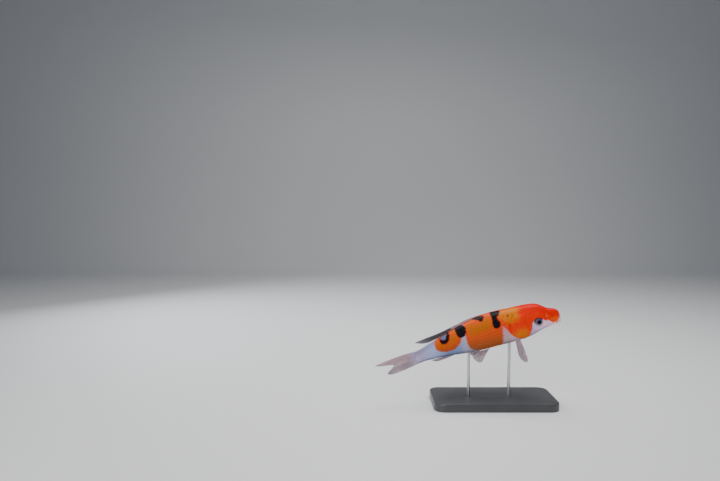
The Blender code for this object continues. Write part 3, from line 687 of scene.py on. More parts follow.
def koi_skin():
    """Wet skin: the patches of colour under a clear film of slime, with fine pores."""
    paint = Paint("koi_skin_wet")
    colour, _ = koi_colour(paint)
    place = paint.stored("place", "Vector")
    height = paint.noise(place, 420.0, 2.0) * 0.4 + paint.noise(place, 90.0, 3.0)
    return paint.finish(
        Base_Color=colour,
        Roughness=paint.noise(place, 45.0, 3.0) * 0.16 + 0.30,
        Specular_IOR_Level=0.02,
        Coat_Weight=0.10,
        Coat_Roughness=0.04,
        Normal=paint.bump(height, 0.25, 0.0004),
    )


def make_skin():
    """The rings joined into one closed skin."""
    rings = skin_rings()
    share, degrees, lift = (np.array([ring[i] for ring in rings]) for i in range(3))
    points = lifted(share, degrees, lift)
    tip = np.array([[-SNOUT * LENGTH, 0, SNOUT_LEVEL * LENGTH]])
    end = np.array([[-SKIN_END * LENGTH, 0, 0]])
    everything = posed(np.concatenate([tip, points.reshape(-1, 3), end]))
    faces, last = [], len(everything) - 1
    for i in range(AROUND):
        j = (i + 1) % AROUND
        faces.append((0, 1 + i, 1 + j))
        faces.append((last, last - AROUND + j, last - AROUND + i))
        for r in range(len(rings) - 1):
            a, b = 1 + r * AROUND, 1 + (r + 1) * AROUND
            faces.append((a + i, b + i, b + j, a + j))
    skin = add_mesh("skin", everything, faces, SKIN_FINISH)
    share = np.concatenate([[SNOUT], share.ravel(), [SKIN_END]])
    give_markings(skin, share, np.concatenate([[0], degrees.ravel(), [0]]))
    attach(skin, "root")
    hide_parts("head", "lower_jaw", "gill_cover_left", "gill_cover_right")
    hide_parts("trunk_front", "trunk_rear", "tail_stalk")


SKIN_FINISH = koi_skin()
make_skin()


# ---------------------------------------------------------------------------------------------
# The scales: about a thousand thin round-ended plates that overlap like tiles, in long rows that
# follow the lateral line, one row along the ridge of the back and one along the belly.

SCALE_PITCH = ((0.25, 0.0165), (0.36, 0.0195), (0.50, 0.0200), (0.70, 0.0178), (0.90, 0.0145), (1.03, 0.0115))
ROW_SPACING = ((0.25, 0.0205), (0.36, 0.0222), (0.50, 0.0220), (0.70, 0.0180), (0.90, 0.0130), (1.03, 0.0105))
LATERAL_LINE = ((0.25, 68.0), (0.40, 84.0), (0.55, 92.0), (0.80, 91.0), (1.03, 90.0))
SCALES_END = 1.012
SCALE_HALF_WIDTH = 0.97  # in row spacings
SCALE_FRONT, SCALE_REAR = -0.80, 0.62  # in pitches
SCALE_THICKNESS = 0.00045
FRONT_LIFT, REAR_LIFT = -0.0020, 0.0004
SCALE_CROWN, MEDIAN_LIFT = 0.00012, 0.00025
FOLD_MARGIN = 0.35  # how near, in row spacings, a side row may come to the ridge or the belly
ROWS_EACH_SIDE = 12
ANCHORS = {"right": 0, "left": 1, "ridge": 2, "belly": 3}
BAKE_PATCH = 0.003  # the size of one scale's patch in the bake's map
RIM_COLOUR, ROOT_NET_AND_SHADOW = (0.80, 0.50, 0.40), (0.42, 0.38, 0.46)

pitch_at, spacing_at, line_at = map(spline, (SCALE_PITCH, ROW_SPACING, LATERAL_LINE))
COLUMN_SHARES = np.linspace(0.20, 1.045, 400)
COLUMNS = np.concatenate([[0], np.cumsum(np.diff(COLUMN_SHARES) / pitch_at(COLUMN_SHARES[1:]))])
# The angle at each hundredth of the way from the ridge to the belly, for each of ARC_SHARES.
HUNDREDTHS = np.linspace(0, 1, 101)
ANGLE_AT = np.array([np.interp(HUNDREDTHS * row[-1], row, ARC_ANGLES) for row in ARC])


def half_girth(share):
    return from_grid(ARC, share, np.full(np.shape(share), 180.0))


def degrees_at(share, round_it):
    """The angle at a distance over the surface from the ridge."""
    return from_grid(ANGLE_AT, share, round_it / half_girth(share) * 100)


def clear_of_zero(value, margin):
    """The value, squeezed so that it stays above zero."""
    return np.where(value < margin, margin * np.exp(np.minimum(value / margin, 1) - 1), value)


def root_way_round(column, row, anchor):
    """The share of the length, and the distance from the ridge, at the middle of each scale."""
    share = np.interp(column, COLUMNS, COLUMN_SHARES)
    girth = half_girth(share)
    round_it = from_grid(ARC, share, line_at(share)) + row * spacing_at(share)
    round_it = np.where(anchor == ANCHORS["ridge"], 0.0, round_it)
    return share, np.where(anchor == ANCHORS["belly"], girth, round_it), girth


def scale_roots():
    """(column, row, anchor) of each scale. Odd rows lie half a column behind even ones."""
    found = []
    for name, anchor in ANCHORS.items():
        median = name in ("ridge", "belly")
        rows = (0,) if median else range(-ROWS_EACH_SIDE, ROWS_EACH_SIDE + 1)
        row, column = np.meshgrid(rows, np.arange(1.0, COLUMNS[-1]), indexing="ij")
        column = column + 0.5 * (row % 2)
        share, round_it, girth = root_way_round(column, row, anchor)
        angle = degrees_at(share, np.clip(round_it, 0, girth))
        margin = -1 if median else 0.5 * spacing_at(share)
        free = (round_it > margin) & (round_it < girth - margin)
        behind = (0.55 - 0.3 * step(angle, 36, 54)) * pitch_at(share)
        free &= (share > gill_line(angle) + behind) & (share < SCALES_END)
        found.append(np.stack([column, row, np.full(row.shape, anchor)], -1)[free])
    return np.concatenate(found)


def rear_edge(across):
    """How far back a scale reaches, from its middle at 0 to its corners at -1 and 1."""
    return SCALE_REAR - 0.60 * np.abs(across) ** 2.3


def scale_plate(finish):
    """One flat scale, closed all round: its back end a wide arc, its front one buried."""
    across = np.linspace(-1, 1, 9)
    rear = rear_edge(across)
    front = SCALE_FRONT + 0.12 * across**2
    rows = [front + (rear - front) * way for way in (0, 0.62, 1)]
    grid = np.array([np.stack([row, across * SCALE_HALF_WIDTH, 0 * row], -1) for row in rows])
    return closed_sheet("scale_plate", grid + (0, 0, 1), grid, finish)


def closed_sheet(name, upper, lower, finish):
    """A thin closed sheet between two grids of points."""
    rows, columns = upper.shape[:2]
    points = np.concatenate([upper.reshape(-1, 3), lower.reshape(-1, 3)])
    number = np.arange(rows * columns).reshape(rows, columns)
    corners = (number[:-1, :-1], number[:-1, 1:], number[1:, 1:], number[1:, :-1])
    faces = [tuple(int(v) for v in face) for face in zip(*(c.ravel() for c in corners))]
    faces += [tuple(v + rows * columns for v in face[::-1]) for face in faces]
    rim = [*number[0], *number[1:, -1], *number[-1, -2::-1], *number[-2:0:-1, 0]]
    for a, b in zip(rim, np.roll(rim, -1)):
        faces.append((int(b), int(a), int(a + rows * columns), int(b + rows * columns)))
    return add_mesh(name, points, faces, finish)


def nodes_on(piece, tree, inputs):
    """Puts the node tree on the piece, sets its inputs, and leaves what it makes as a plain mesh."""
    modifier = piece.modifiers.new("made", "NODES")
    modifier.node_group = tree
    sockets = {item.name: item.identifier for item in tree.interface.items_tree if item.in_out == "INPUT"}
    for name, value in inputs.items():
        modifier[sockets[name]] = value
    graph = bpy.context.evaluated_depsgraph_get()
    graph.update()
    mesh = bpy.data.meshes.new_from_object(piece.evaluated_get(graph))
    piece.modifiers.clear()
    old, piece.data = piece.data, mesh
    bpy.data.meshes.remove(old)


def new_tree(name, inputs):
    """An empty tree of geometry nodes with these named inputs, and a helper that adds nodes to it."""
    tree = bpy.data.node_groups.new(name, "GeometryNodeTree")
    tree.interface.new_socket("Geometry", in_out="INPUT", socket_type="NodeSocketGeometry")
    for label, kind in inputs.items():
        tree.interface.new_socket(label, in_out="INPUT", socket_type=kind)
    tree.interface.new_socket("Geometry", in_out="OUTPUT", socket_type="NodeSocketGeometry")
    start = tree.nodes.new("NodeGroupInput")

    def add(kind, links=(), **settings):
        made = tree.nodes.new(kind)
        for label, value in settings.items():
            setattr(made, label, value)
        for label, value in dict(links).items():
            socket = made.inputs[label]
            if isinstance(value, bpy.types.NodeSocket):
                tree.links.new(value, socket)
            else:
                socket.default_value = value
        return made

    return tree, start, add


def close_tree(tree, start, add, geometry):
    """Ends a tree: real geometry, in the finish that the tree is given."""
    real = add("GeometryNodeRealizeInstances", {"Geometry": geometry})
    links = {"Geometry": real.outputs["Geometry"], "Material": start.outputs["Finish"]}
    painted = add("GeometryNodeSetMaterial", links)
    end = tree.nodes.new("NodeGroupOutput")
    tree.links.new(painted.outputs["Geometry"], end.inputs["Geometry"])
    return tree


def scatter_tree():
    """Sets a copy of the plate at every point, joined into one mesh."""
    inputs = {"Plate": "NodeSocketObject", "Size": "NodeSocketFloat", "Finish": "NodeSocketMaterial"}
    tree, start, add = new_tree("scatter_scales", inputs)
    plate = add("GeometryNodeObjectInfo", {"Object": start.outputs["Plate"]})
    points = add("GeometryNodeMeshToPoints", {"Mesh": start.outputs["Geometry"]})
    placed = add(
        "GeometryNodeInstanceOnPoints",
        {
            "Points": points.outputs["Points"],
            "Instance": plate.outputs["Geometry"],
            "Scale": start.outputs["Size"],
        },
    )
    return close_tree(tree, start, add, placed.outputs["Instances"])


def add_points(name, points, edges=()):
    """An object of bare points and edges, for a tree of nodes to build on."""
    mesh = bpy.data.meshes.new(name)
    mesh.from_pydata(points.tolist(), edges, [])
    made = bpy.data.objects.new(name, mesh)
    bpy.context.scene.collection.objects.link(made)
    return made


def lattice_place(scales):
    """The column, row and anchor of the scale that each point belongs to."""
    found = []
    for name in ("column", "row", "anchor"):
        layer = scales.data.attributes[name].data
        values = np.empty(len(layer), np.float32)
        layer.foreach_get("value", values)
        found.append(values.astype(float))
    return found


def lay_scales(scales):
    """Moves the flat plates from the lattice to the body, and returns where each point now is on it."""
    count = len(scales.data.vertices)
    points = np.empty(count * 3, np.float32)
    scales.data.vertices.foreach_get("co", points)
    along, across, layer = points.reshape(-1, 3).astype(float).T
    column, row, anchor = lattice_place(scales)
    along, across = along - column, across - row
    share = np.interp(column + along, COLUMNS, COLUMN_SHARES)
    spacing = spacing_at(np.interp(column, COLUMNS, COLUMN_SHARES))
    girth = half_girth(share)
    line = from_grid(ARC, share, line_at(share))
    round_it = line + (row + across) * spacing
    round_it = clear_of_zero(round_it, FOLD_MARGIN * spacing)
    round_it = girth - clear_of_zero(girth - round_it, FOLD_MARGIN * spacing)
    side = np.where(anchor == ANCHORS["left"], 1.0, -1.0)
    ridge, low = anchor == ANCHORS["ridge"], anchor == ANCHORS["belly"]
    round_it = np.where(ridge, np.abs(across) * spacing, round_it)
    round_it = np.where(low, girth - np.abs(across) * spacing, round_it)
    side = np.where(ridge | low, np.where(across >= 0, 1.0, -1.0), side)
    degrees = side * degrees_at(share, round_it)
    way = (along - SCALE_FRONT) / (SCALE_REAR - SCALE_FRONT)
    lift = FRONT_LIFT + (REAR_LIFT - FRONT_LIFT) * way + (ridge | low) * MEDIAN_LIFT
    lift += SCALE_CROWN * (1 - 2 * (across / SCALE_HALF_WIDTH) ** 2) - SCALE_THICKNESS * (1 - layer)
    slit = gill_line(np.abs(degrees))
    lift -= 0.0012 * (1 - step(share - slit, 0.004, 0.020)) * step(np.abs(degrees), 36, 54)
    place = posed(lifted(share, degrees, lift))
    scales.data.vertices.foreach_set("co", place.astype(np.float32).ravel())
    scales.data.update()
    return share, degrees, along, across


def unwrap_scales(scales, along, across):
    """Each scale as a small patch at its root's place, on the body slit along the belly and laid flat."""
    low, high = COLUMN_SHARES[0], COLUMN_SHARES[-1]
    column, row, anchor = lattice_place(scales)
    root, round_it, _ = root_way_round(column, row, anchor)
    turn = degrees_at(root, round_it) * np.where(anchor == ANCHORS["left"], 1, -1)
    u = 0.02 + 0.96 * (root - low) / (high - low) + BAKE_PATCH * (along - SCALE_FRONT)
    v = 0.5 + 0.48 * turn / 180.0 + BAKE_PATCH * across / 2
    layer = scales.data.uv_layers.new(name="OFBake")
    corner = np.empty(len(scales.data.loops), np.int32)
    scales.data.loops.foreach_get("vertex_index", corner)
    layer.data.foreach_set("uv", np.stack([u, v], -1)[corner].astype(np.float32).ravel())


def scale_finish():
    """The same colours as the skin's, with a pale rim and fine growth rings on every scale, and a darker
    front that is partly a net pattern and partly a painted shadow of the scale ahead.
    """
    paint = Paint("koi_scales")
    colour, black = koi_colour(paint)
    place, edge = paint.stored("place", "Vector"), paint.stored("edge")
    along = paint.stored("along")
    colour = paint.blend(edge.step(0.16, 0.02) * (0.10 - black * 0.08), colour, RIM_COLOUR)
    # Darkens the front of each scale: partly the net pattern, partly a painted shadow under the rim of the
    # scale ahead.
    settings = {"data_type": "RGBA", "blend_type": "MULTIPLY"}
    sockets = {"Factor_Float": along.step(0.10, -0.35) * 0.35, "A_Color": colour, "B_Color": ROOT_NET_AND_SHADOW}
    shade = paint.node("ShaderNodeMix", settings, sockets, 2)
    rings = paint.node("ShaderNodeMath", {"operation": "SINE"}, {0: edge * 90.0})
    height = rings * 0.25 + paint.noise(place, 300.0, 2.0)
    return paint.finish(
        Base_Color=shade,
        Roughness=paint.noise(place, 45.0, 3.0) * 0.16 + 0.34,
        Specular_IOR_Level=0.02,
        Coat_Weight=0.10,
        Coat_Roughness=0.06,
        Normal=paint.bump(height, 0.18, 0.0003),
    )


def make_scales():
    """Sets out the flat scales on their lattice, and lays them on the body."""
    roots = scale_roots()
    finish = scale_finish()
    scales = add_points("scales", np.concatenate([roots[:, :2], 0 * roots[:, :1]], axis=1))
    for i, name in enumerate(("column", "row", "anchor")):
        give(scales, name, roots[:, i])
    plate = scale_plate(finish)
    nodes_on(scales, scatter_tree(), {"Plate": plate, "Size": 1.0, "Finish": finish})
    bpy.data.objects.remove(plate)
    share, degrees, along, across = lay_scales(scales)
    give_markings(scales, share, degrees)
    give(scales, "along", along)
    give(scales, "edge", rear_edge(across / SCALE_HALF_WIDTH) - along)
    unwrap_scales(scales, along, across)
    scales.data.shade_smooth()
    scales.data.set_sharp_from_angle(angle=math.radians(40))
    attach(scales, "root")
    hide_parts("trunk_front", "trunk_rear", "tail_stalk")


make_scales()


# ---------------------------------------------------------------------------------------------
# The eyes: two glossy flattened balls in the cheeks. Each has a clear bulge over the pupil, a thin
# bronze ring round it, and an iris with fine rays that is lilac below and navy above, where a painted shadow
# of the brow darkens it.

PUPIL, BRONZE_RING, IRIS_END = 0.45, 0.475, 0.86  # as shares of the eye's radius
CORNEA_BULGE = 0.0032
EYE_RINGS, EYE_SIDES = 34, 64
IRIS_LOW, IRIS_MIDDLE, IRIS_BROW_SHADOW = (0.34, 0.28, 0.34), (0.150, 0.115, 0.18), (0.016, 0.042, 0.105)
PALE_RAYS, DARK_CLOUDS = (0.26, 0.23, 0.32), (0.035, 0.040, 0.070)
EDGE_LOW, EDGE_BROW_SHADOW = (0.66, 0.50, 0.60), (0.060, 0.020, 0.020)
BRONZE, PUPIL_BLACK = (0.26, 0.17, 0.14), (0.002, 0.002, 0.003)


def eye_finish():
    paint = Paint("koi_eyeball")
    disc = paint.stored("disc", "Vector")
    out = paint.stored("out")
    high = paint.node("ShaderNodeSeparateXYZ", None, {"Vector": disc}, "Y")
    rays = paint.noise(paint.stored("turned", "Vector"), 7.0, 3.0, 0.6)
    cloud = paint.noise(disc, 3.0, 3.0)
    iris = paint.blend(high.step(-0.60, -0.10), IRIS_LOW, IRIS_MIDDLE)
    # Painted shadow of the brow: the iris turns navy above, and the eye's upper edge near black; below, the
    # edge is pinkish like the cheek.
    iris = paint.blend(high.step(0.05, 0.50), iris, IRIS_BROW_SHADOW)
    iris = paint.blend(rays.step(0.42, 0.72) * 0.35, iris, PALE_RAYS)
    iris = paint.blend(cloud.step(0.52, 0.72) * 0.5, iris, DARK_CLOUDS)
    edge = paint.blend(high.step(-0.25, 0.35), EDGE_LOW, EDGE_BROW_SHADOW)
    iris = paint.blend(out.step(0.72, 0.90), iris, edge)
    ringed = paint.blend(out.step(BRONZE_RING + 0.03, BRONZE_RING) * 0.5, iris, BRONZE)
    colour = paint.blend(out.step(PUPIL + 0.025, PUPIL), ringed, PUPIL_BLACK)
    return paint.finish(
        Base_Color=colour,
        Roughness=rays * 0.15 + 0.16,
        Specular_IOR_Level=0.05,
        Coat_Weight=0.30,
        Coat_Roughness=0.02,
        Normal=paint.bump(rays, 0.15, 0.0002),
    )


def make_eye(name, side, finish):
    share, degrees = EYE_PLACE
    outward = skin_normal(share, side * degrees)
    centre = on_skin(share, side * degrees) - outward * (EYE_THICKNESS - EYE_PROUD) * LENGTH
    ahead = np.cross(np.cross(outward, (1, 0, 0)), outward)
    ahead /= np.linalg.norm(ahead)
    upward = np.cross(ahead, outward) * side
    polar = np.radians(np.linspace(0, 180, EYE_RINGS + 2)[1:-1])
    turn = np.radians(np.arange(EYE_SIDES) * 360 / EYE_SIDES)
    wide = np.sin(polar)
    bulge = CORNEA_BULGE * step(IRIS_END - wide, 0.0, IRIS_END) * (polar < math.pi / 2)
    thick = np.cos(polar) * EYE_THICKNESS + bulge
    flat = EYE_RADIUS * wide[:, None] * np.stack([np.cos(turn), np.sin(turn)])[:, None, :]
    rings = flat[0][..., None] * ahead + flat[1][..., None] * upward + thick[:, None, None] * outward
    poles = np.array([outward * (EYE_THICKNESS + CORNEA_BULGE), -outward * EYE_THICKNESS])
    local = np.concatenate([poles[:1], rings.reshape(-1, 3), poles[1:]])
    faces, last = [], len(local) - 1
    for i in range(EYE_SIDES):
        j = (i + 1) % EYE_SIDES
        faces += [(0, 1 + i, 1 + j), (last, last - EYE_SIDES + j, last - EYE_SIDES + i)]
        for r in range(EYE_RINGS - 1):
            a, b = 1 + r * EYE_SIDES, 1 + (r + 1) * EYE_SIDES
            faces.append((a + i, b + i, b + j, a + j))
    eye = add_mesh(name.replace("eye", "eye_ball"), posed(centre + local * LENGTH), faces, finish)
    out = np.concatenate([[0], np.repeat(wide, EYE_SIDES), [1]])
    out = np.where(np.arange(len(out)) > last / 2, 2 - out, out)
    x, y = local @ ahead / EYE_RADIUS, local @ upward / EYE_RADIUS
    away = np.maximum(np.hypot(x, y), 1e-6)
    give(eye, "out", out)
    give(eye, "disc", np.stack([x, y, 0 * x], -1))
    give(eye, "turned", np.stack([x / away, y / away, out * 0.15], -1))
    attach(eye, "root")
    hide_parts(name)


EYE_FINISH = eye_finish()
make_eye("eye_left", 1, EYE_FINISH)
make_eye("eye_right", -1, EYE_FINISH)


# ---------------------------------------------------------------------------------------------
# The barbels: two pairs of soft pale feelers, a short one on the upper lip and a longer one at the
# corner of the mouth. Each grows out of a small swelling and tapers to a blunt tip.

LIP_BARBEL = ((-0.018, 0.0350, -0.047), (-0.012, 0.0465, -0.063), (0.001, 0.002, 0.001), 0.0047)
MOUTH_BARBEL = ((-0.042, 0.0362, -0.056), (-0.020, 0.050, -0.079), (0.001, 0.003, -0.002), 0.0060)
BARBEL_RINGS, BARBEL_SIDES = 30, 16
BARBEL_ROOT, BARBEL_TIP, BARBEL_BLUSH = (0.78, 0.52, 0.42), (0.80, 0.70, 0.66), (0.60, 0.30, 0.22)


def barbel_finish():
    paint = Paint("koi_barbel")
    along = paint.stored("along")
    place = paint.node("ShaderNodeTexCoord", output="Object")
    cloud = paint.noise(place, 900.0, 3.0)
    colour = paint.blend(along.step(0.05, 0.85), BARBEL_ROOT, BARBEL_TIP)
    colour = paint.blend(cloud.step(0.55, 0.75) * 0.4, colour, BARBEL_BLUSH)
    return paint.finish(
        Base_Color=colour,
        Roughness=cloud * 0.2 + 0.25,
        Coat_Weight=0.4,
        Normal=paint.bump(cloud, 0.3, 0.0002),
    )


def make_barbel(name, side, shape, finish):
    root, tip, bow = (np.array((x, side * y, z)) for x, y, z in shape[:3])
    t = np.linspace(-0.12, 1, BARBEL_RINGS)[:, None]
    centre = root + (tip - root) * t + bow * 4 * t * (1 - t)
    ahead = tip - root + bow * 4 * (1 - 2 * t)
    first = np.cross(ahead, (1, 0, 0.3))
    first /= np.linalg.norm(first, axis=1, keepdims=True)
    second = np.cross(ahead / np.linalg.norm(ahead, axis=1, keepdims=True), first)
    radius = shape[3] / 2 * (1 - 0.42 * t) * np.sqrt(np.clip((1.03 - t) / 0.12, 0, 1))
    radius = radius * (1 + 1.1 * bump(t + 0.02, 0.11)) + 0.00005 * np.sin(t * 60)
    turn = np.radians(np.arange(BARBEL_SIDES) * 360 / BARBEL_SIDES)[None, :, None]
    outwards = first[:, None] * np.cos(turn) + second[:, None] * np.sin(turn)
    rings = centre[:, None] + radius[:, None] * outwards
    make_tube(name.replace("barbel", "feeler"), rings, finish, np.clip(t[:, 0], 0, 1), name)


def make_tube(name, rings, finish, along, replaced):
    """A closed tube through rings of points."""
    count, sides = rings.shape[:2]
    points = np.concatenate([rings[0].mean(0)[None], rings.reshape(-1, 3), rings[-1].mean(0)[None]])
    faces, last = [], len(points) - 1
    for i in range(sides):
        j = (i + 1) % sides
        faces += [(0, 1 + i, 1 + j), (last, last - sides + j, last - sides + i)]
        for a in range(1, 1 + (count - 1) * sides, sides):
            faces.append((a + i, a + sides + i, a + sides + j, a + j))
    piece = add_mesh(name, posed(points * LENGTH), faces, finish)
    give(piece, "along", np.concatenate([along[:1], np.repeat(along, sides), along[-1:]]))
    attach(piece, "root")
    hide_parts(replaced)


BARBEL_FINISH = barbel_finish()
for word, side in (("left", 1), ("right", -1)):
    make_barbel(f"lip_barbel_{word}", side, LIP_BARBEL, BARBEL_FINISH)
    make_barbel(f"mouth_barbel_{word}", side, MOUTH_BARBEL, BARBEL_FINISH)


# ---------------------------------------------------------------------------------------------
# The fins: thin clear skin stretched over soft jointed rays, which fork twice on their way to the
# edge. The back fin is laid down and the tail is half closed. The right pectoral fin is spread down
# as a brake, and the left one is held out level.

GAP = 0.0003 / LENGTH  # between the root of a fin and the skin
MEMBRANE_ROWS, COLUMNS_PER_RAY = 26, 4
MEMBRANE_ROOT, MEMBRANE_EDGE = 0.0016, 0.0006  # how thick it is
RAY_STEPS, RAY_SIDES = 7, 6
FORK, TWIG = 0.46, 0.76  # where a ray forks, and forks again, as shares of its length
FORK_SPREAD, TWIG_SPREAD = 0.20, 0.11  # in spacings of the rays
RIPPLE = 0.0016
STRAIGHT = np.zeros(3)  # the bow of a fin whose rays don't bend


def unit(vector):
    return np.asarray(vector, float) / np.linalg.norm(vector)


def by_table(table, t):
    return np.interp(t, *zip(*table))


def sloping(degrees):
    """Directions that run back along the body, raised by these angles."""
    angle = np.radians(degrees)
    return np.stack([-np.cos(angle), 0 * angle, np.sin(angle)], -1)


def fanned(t, middle, chord, spread):
    """Directions that turn from the middle one towards the chord, by the spread in degrees at t of 1."""
    middle, chord = unit(middle), unit(chord)
    chord = unit(chord - middle * (chord @ middle))
    angle = np.radians(spread * t)[..., None]
    return middle * np.cos(angle) + chord * np.sin(angle)


def dorsal_rays(t):
    share = 0.485 + 0.350 * t
    roots = np.stack([-share, 0 * t, back(share) + GAP], -1)
    places = (0.0, 0.06, 0.15, 0.50, 0.60, 0.70, 0.80, 0.90, 1.0)
    slope = np.interp(t, places, (1.0, -0.6, -3.0, 0.0, 2.0, 4.0, 5.0, 1.0, -4.0))
    reach = np.interp(t, places, (0.050, 0.110, 0.150, 0.135, 0.142, 0.190, 0.250, 0.165, 0.070))
    return roots, sloping(slope), reach, STRAIGHT


def anal_rays(t):
    share = 0.765 + 0.075 * t
    roots = np.stack([-share, 0 * t, belly(share) - GAP], -1)
    slope = by_table(((0.0, -1.0), (1.0, 9.0)), t)
    reach = by_table(((0.0, 0.05), (0.12, 0.105), (0.30, 0.118), (1.0, 0.095)), t)
    return roots, sloping(slope), reach, STRAIGHT


def tail_rays(t):
    level = np.where(t > 0, back(1.0), -belly(1.0)) * t * 0.94
    roots = np.stack([-1.0 - 0.018 * (1 - t**2) - GAP, 0 * t, level], -1)
    spread = by_table(((-1.0, -2.5), (0.0, 0.0), (1.0, 10.5)), t)
    bow = np.stack([0 * t, 0 * t, by_table(((-1.0, 0.065), (0.0, 0.0), (1.0, -0.13)), t)], -1)
    reach = (
        (-1.0, 0.236), (-0.85, 0.254), (-0.50, 0.254), (-0.20, 0.236), (0.05, 0.208), (0.30, 0.186),
        (0.45, 0.205), (0.60, 0.255), (0.78, 0.318), (0.93, 0.352), (1.0, 0.336),
    )
    return roots, sloping(spread), by_table(reach, t), bow


def pectoral_rays(side):
    """The right fin is spread down as a brake, and the left one is held out level."""
    out = (-0.25, 0.95, -0.12) if side > 0 else (0.05, -0.50, -0.86)

    def rays(t):
        roots = lifted(0.316 - 0.016 * t, side * (136.0 - 4.5 * t), 0 * t + 0.006) / LENGTH
        directions = fanned(t, out, (0.45, side * 0.85, 0.30), 11.0)
        reach = ((-1.0, 0.088), (-0.6, 0.120), (0.0, 0.146), (0.6, 0.160), (0.9, 0.154), (1.0, 0.138))
        return roots, directions, by_table(reach, t), np.array((-0.06, 0, -0.10))

    return rays


def pelvic_rays(side):
    """Both fins slope down and back."""

    def rays(t):
        roots = lifted(0.530 - 0.013 * t, side * (154.0 - 4.0 * t), 0 * t + 0.006) / LENGTH
        directions = fanned(t, (-0.94, side * 0.26, -0.18), (0.20, side * 0.35, -0.75), 22.0)
        reach = by_table(((-1.0, 0.105), (-0.5, 0.124), (0.2, 0.132), (0.75, 0.128), (1.0, 0.112)), t)
        return roots, directions, reach, np.array((0, 0, -0.05))

    return rays


# name, rays, first and last t, number of rays, thickness of a ray's root
FINS = (
    ("dorsal_fin", dorsal_rays, 0.0, 1.0, 21, 0.0040),
    ("anal_fin", anal_rays, 0.0, 1.0, 8, 0.0036),
    ("tail_fin", tail_rays, -1.0, 1.0, 20, 0.0042),
    ("pectoral_fin_left", pectoral_rays(1), -1.0, 1.0, 15, 0.0030),
    ("pectoral_fin_right", pectoral_rays(-1), -1.0, 1.0, 15, 0.0030),
    ("pelvic_fin_left", pelvic_rays(1), -1.0, 1.0, 9, 0.0030),
    ("pelvic_fin_right", pelvic_rays(-1), -1.0, 1.0, 9, 0.0030),
)


def fin_place(rays, t, along):
    """Points of the fin's middle surface on the straight fish, in shares of its length."""
    roots, directions, lengths, bow = rays(t)
    along, lengths = along[..., None], lengths[..., None]
    return roots + along * lengths * directions + along**2 * lengths * bow


def fin_normal(rays, t, along):
    small = 1e-3
    across = fin_place(rays, t + small, along) - fin_place(rays, t - small, along)
    outwards = fin_place(rays, t, along + small) - fin_place(rays, t, along - small)
    normal = np.cross(across, outwards)
    return normal / np.maximum(np.linalg.norm(normal, axis=-1, keepdims=True), 1e-12)


def fin_wave(t, along):
    """A soft ripple across a fin's blade, as a share of the body's length."""
    return RIPPLE * np.sin(7.0 * t + 2.6 * along) * along


def waved_place(rays, t, along):
    """Points of the rippled blade, and its direction there."""
    normal = fin_normal(rays, t, along)
    return fin_place(rays, t, along) + normal * fin_wave(t, along)[..., None], normal


LOW_FIN, HIGH_FIN, FIN_STREAK = (0.30, 0.23, 0.30), (0.42, 0.28, 0.32), (0.76, 0.50, 0.54)
FIN_BLOTCH, FIN_ROOT, RAY_TINT = (0.17, 0.14, 0.21), (0.50, 0.45, 0.68), (0.70, 0.56, 0.60)
BLACK_FIN, BLACK_FIN_EDGE = (0.006, 0.007, 0.022), (0.07, 0.10, 0.20)
RED_FIN, PINK_FIN = (0.60, 0.07, 0.09), (0.72, 0.20, 0.22)


def membrane_finish():
    paint = Paint("fin_membrane")
    colour, streak = fin_colours(paint)
    along, across = paint.stored("along"), paint.stored("ray_phase")
    between = paint.node("ShaderNodeMath", {"operation": "COSINE"}, {0: across * (2 * math.pi)})
    clear = along.step(0.15, 0.95) * 0.34 + streak * 0.10
    return paint.finish(
        Base_Color=colour,
        Roughness=streak * 0.2 + 0.28,
        Alpha=0.95 - clear,
        Specular_IOR_Level=0.12,
        Coat_Weight=0.10,
        Normal=paint.bump(between * 0.5 + streak, 0.3, 0.0004),
    )


def fin_colours(paint):
    """The fins' colour and the streaks along their rays."""
    share, along = paint.stored("share"), paint.stored("along")
    kind, phase = paint.stored("dark"), paint.stored("ray_phase")
    local = paint.node("ShaderNodeCombineXYZ", None, {"X": phase * 0.9, "Y": along * 1.6, "Z": share})
    streak = paint.noise(local, 2.2, 3.0)
    blotch = paint.noise(local, 0.8, 3.0)
    pale = paint.blend(paint.stored("upper"), LOW_FIN, HIGH_FIN)
    pale = paint.blend(streak.step(0.48, 0.66) * 0.8, pale, FIN_STREAK)
    pale = paint.blend(blotch.step(0.50, 0.68) * 0.6, pale, FIN_BLOTCH)
    pale = paint.blend(paint.stored("stalk"), pale, FIN_ROOT)
    dark = paint.blend(along.step(0.88, 1.00), BLACK_FIN, BLACK_FIN_EDGE)
    flame = paint.blend(streak.step(0.4, 0.7), RED_FIN, PINK_FIN)
    pale = paint.blend(paint.stored("flame"), pale, flame)
    return paint.blend((kind + blotch * 0.5 - 0.25).step(0.42, 0.58), pale, dark), streak


def ray_finish():
    paint = Paint("fin_rays")
    colour, streak = fin_colours(paint)
    colour = paint.blend(0.16, colour, RAY_TINT)
    along = paint.stored("along")
    joints = paint.node("ShaderNodeMath", {"operation": "SINE"}, {0: along * 170.0})
    return paint.finish(
        Base_Color=colour,
        Roughness=streak * 0.2 + 0.3,
        Specular_IOR_Level=0.12,
        Coat_Weight=0.08,
        Normal=paint.bump(joints, 0.4, 0.0002),
    )


def give_fin(piece, name, share, t, along, phase):
    """Stores what the fins' finishes read."""
    back_fin, tail = float(name == "dorsal_fin"), float(name == "tail_fin")
    values = {
        "share": share,
        "along": along,
        "ray_phase": phase,
        "dark": back_fin * step(share, 0.69, 0.77),
        "flame": back_fin * (1 - step(share, 0.60, 0.72)),
        "upper": tail * step(t, -0.4, 0.5),
        "stalk": tail * (1 - step(along, 0.0, 0.36)),
    }
    for label, numbers in values.items():
        give(piece, label, numbers)


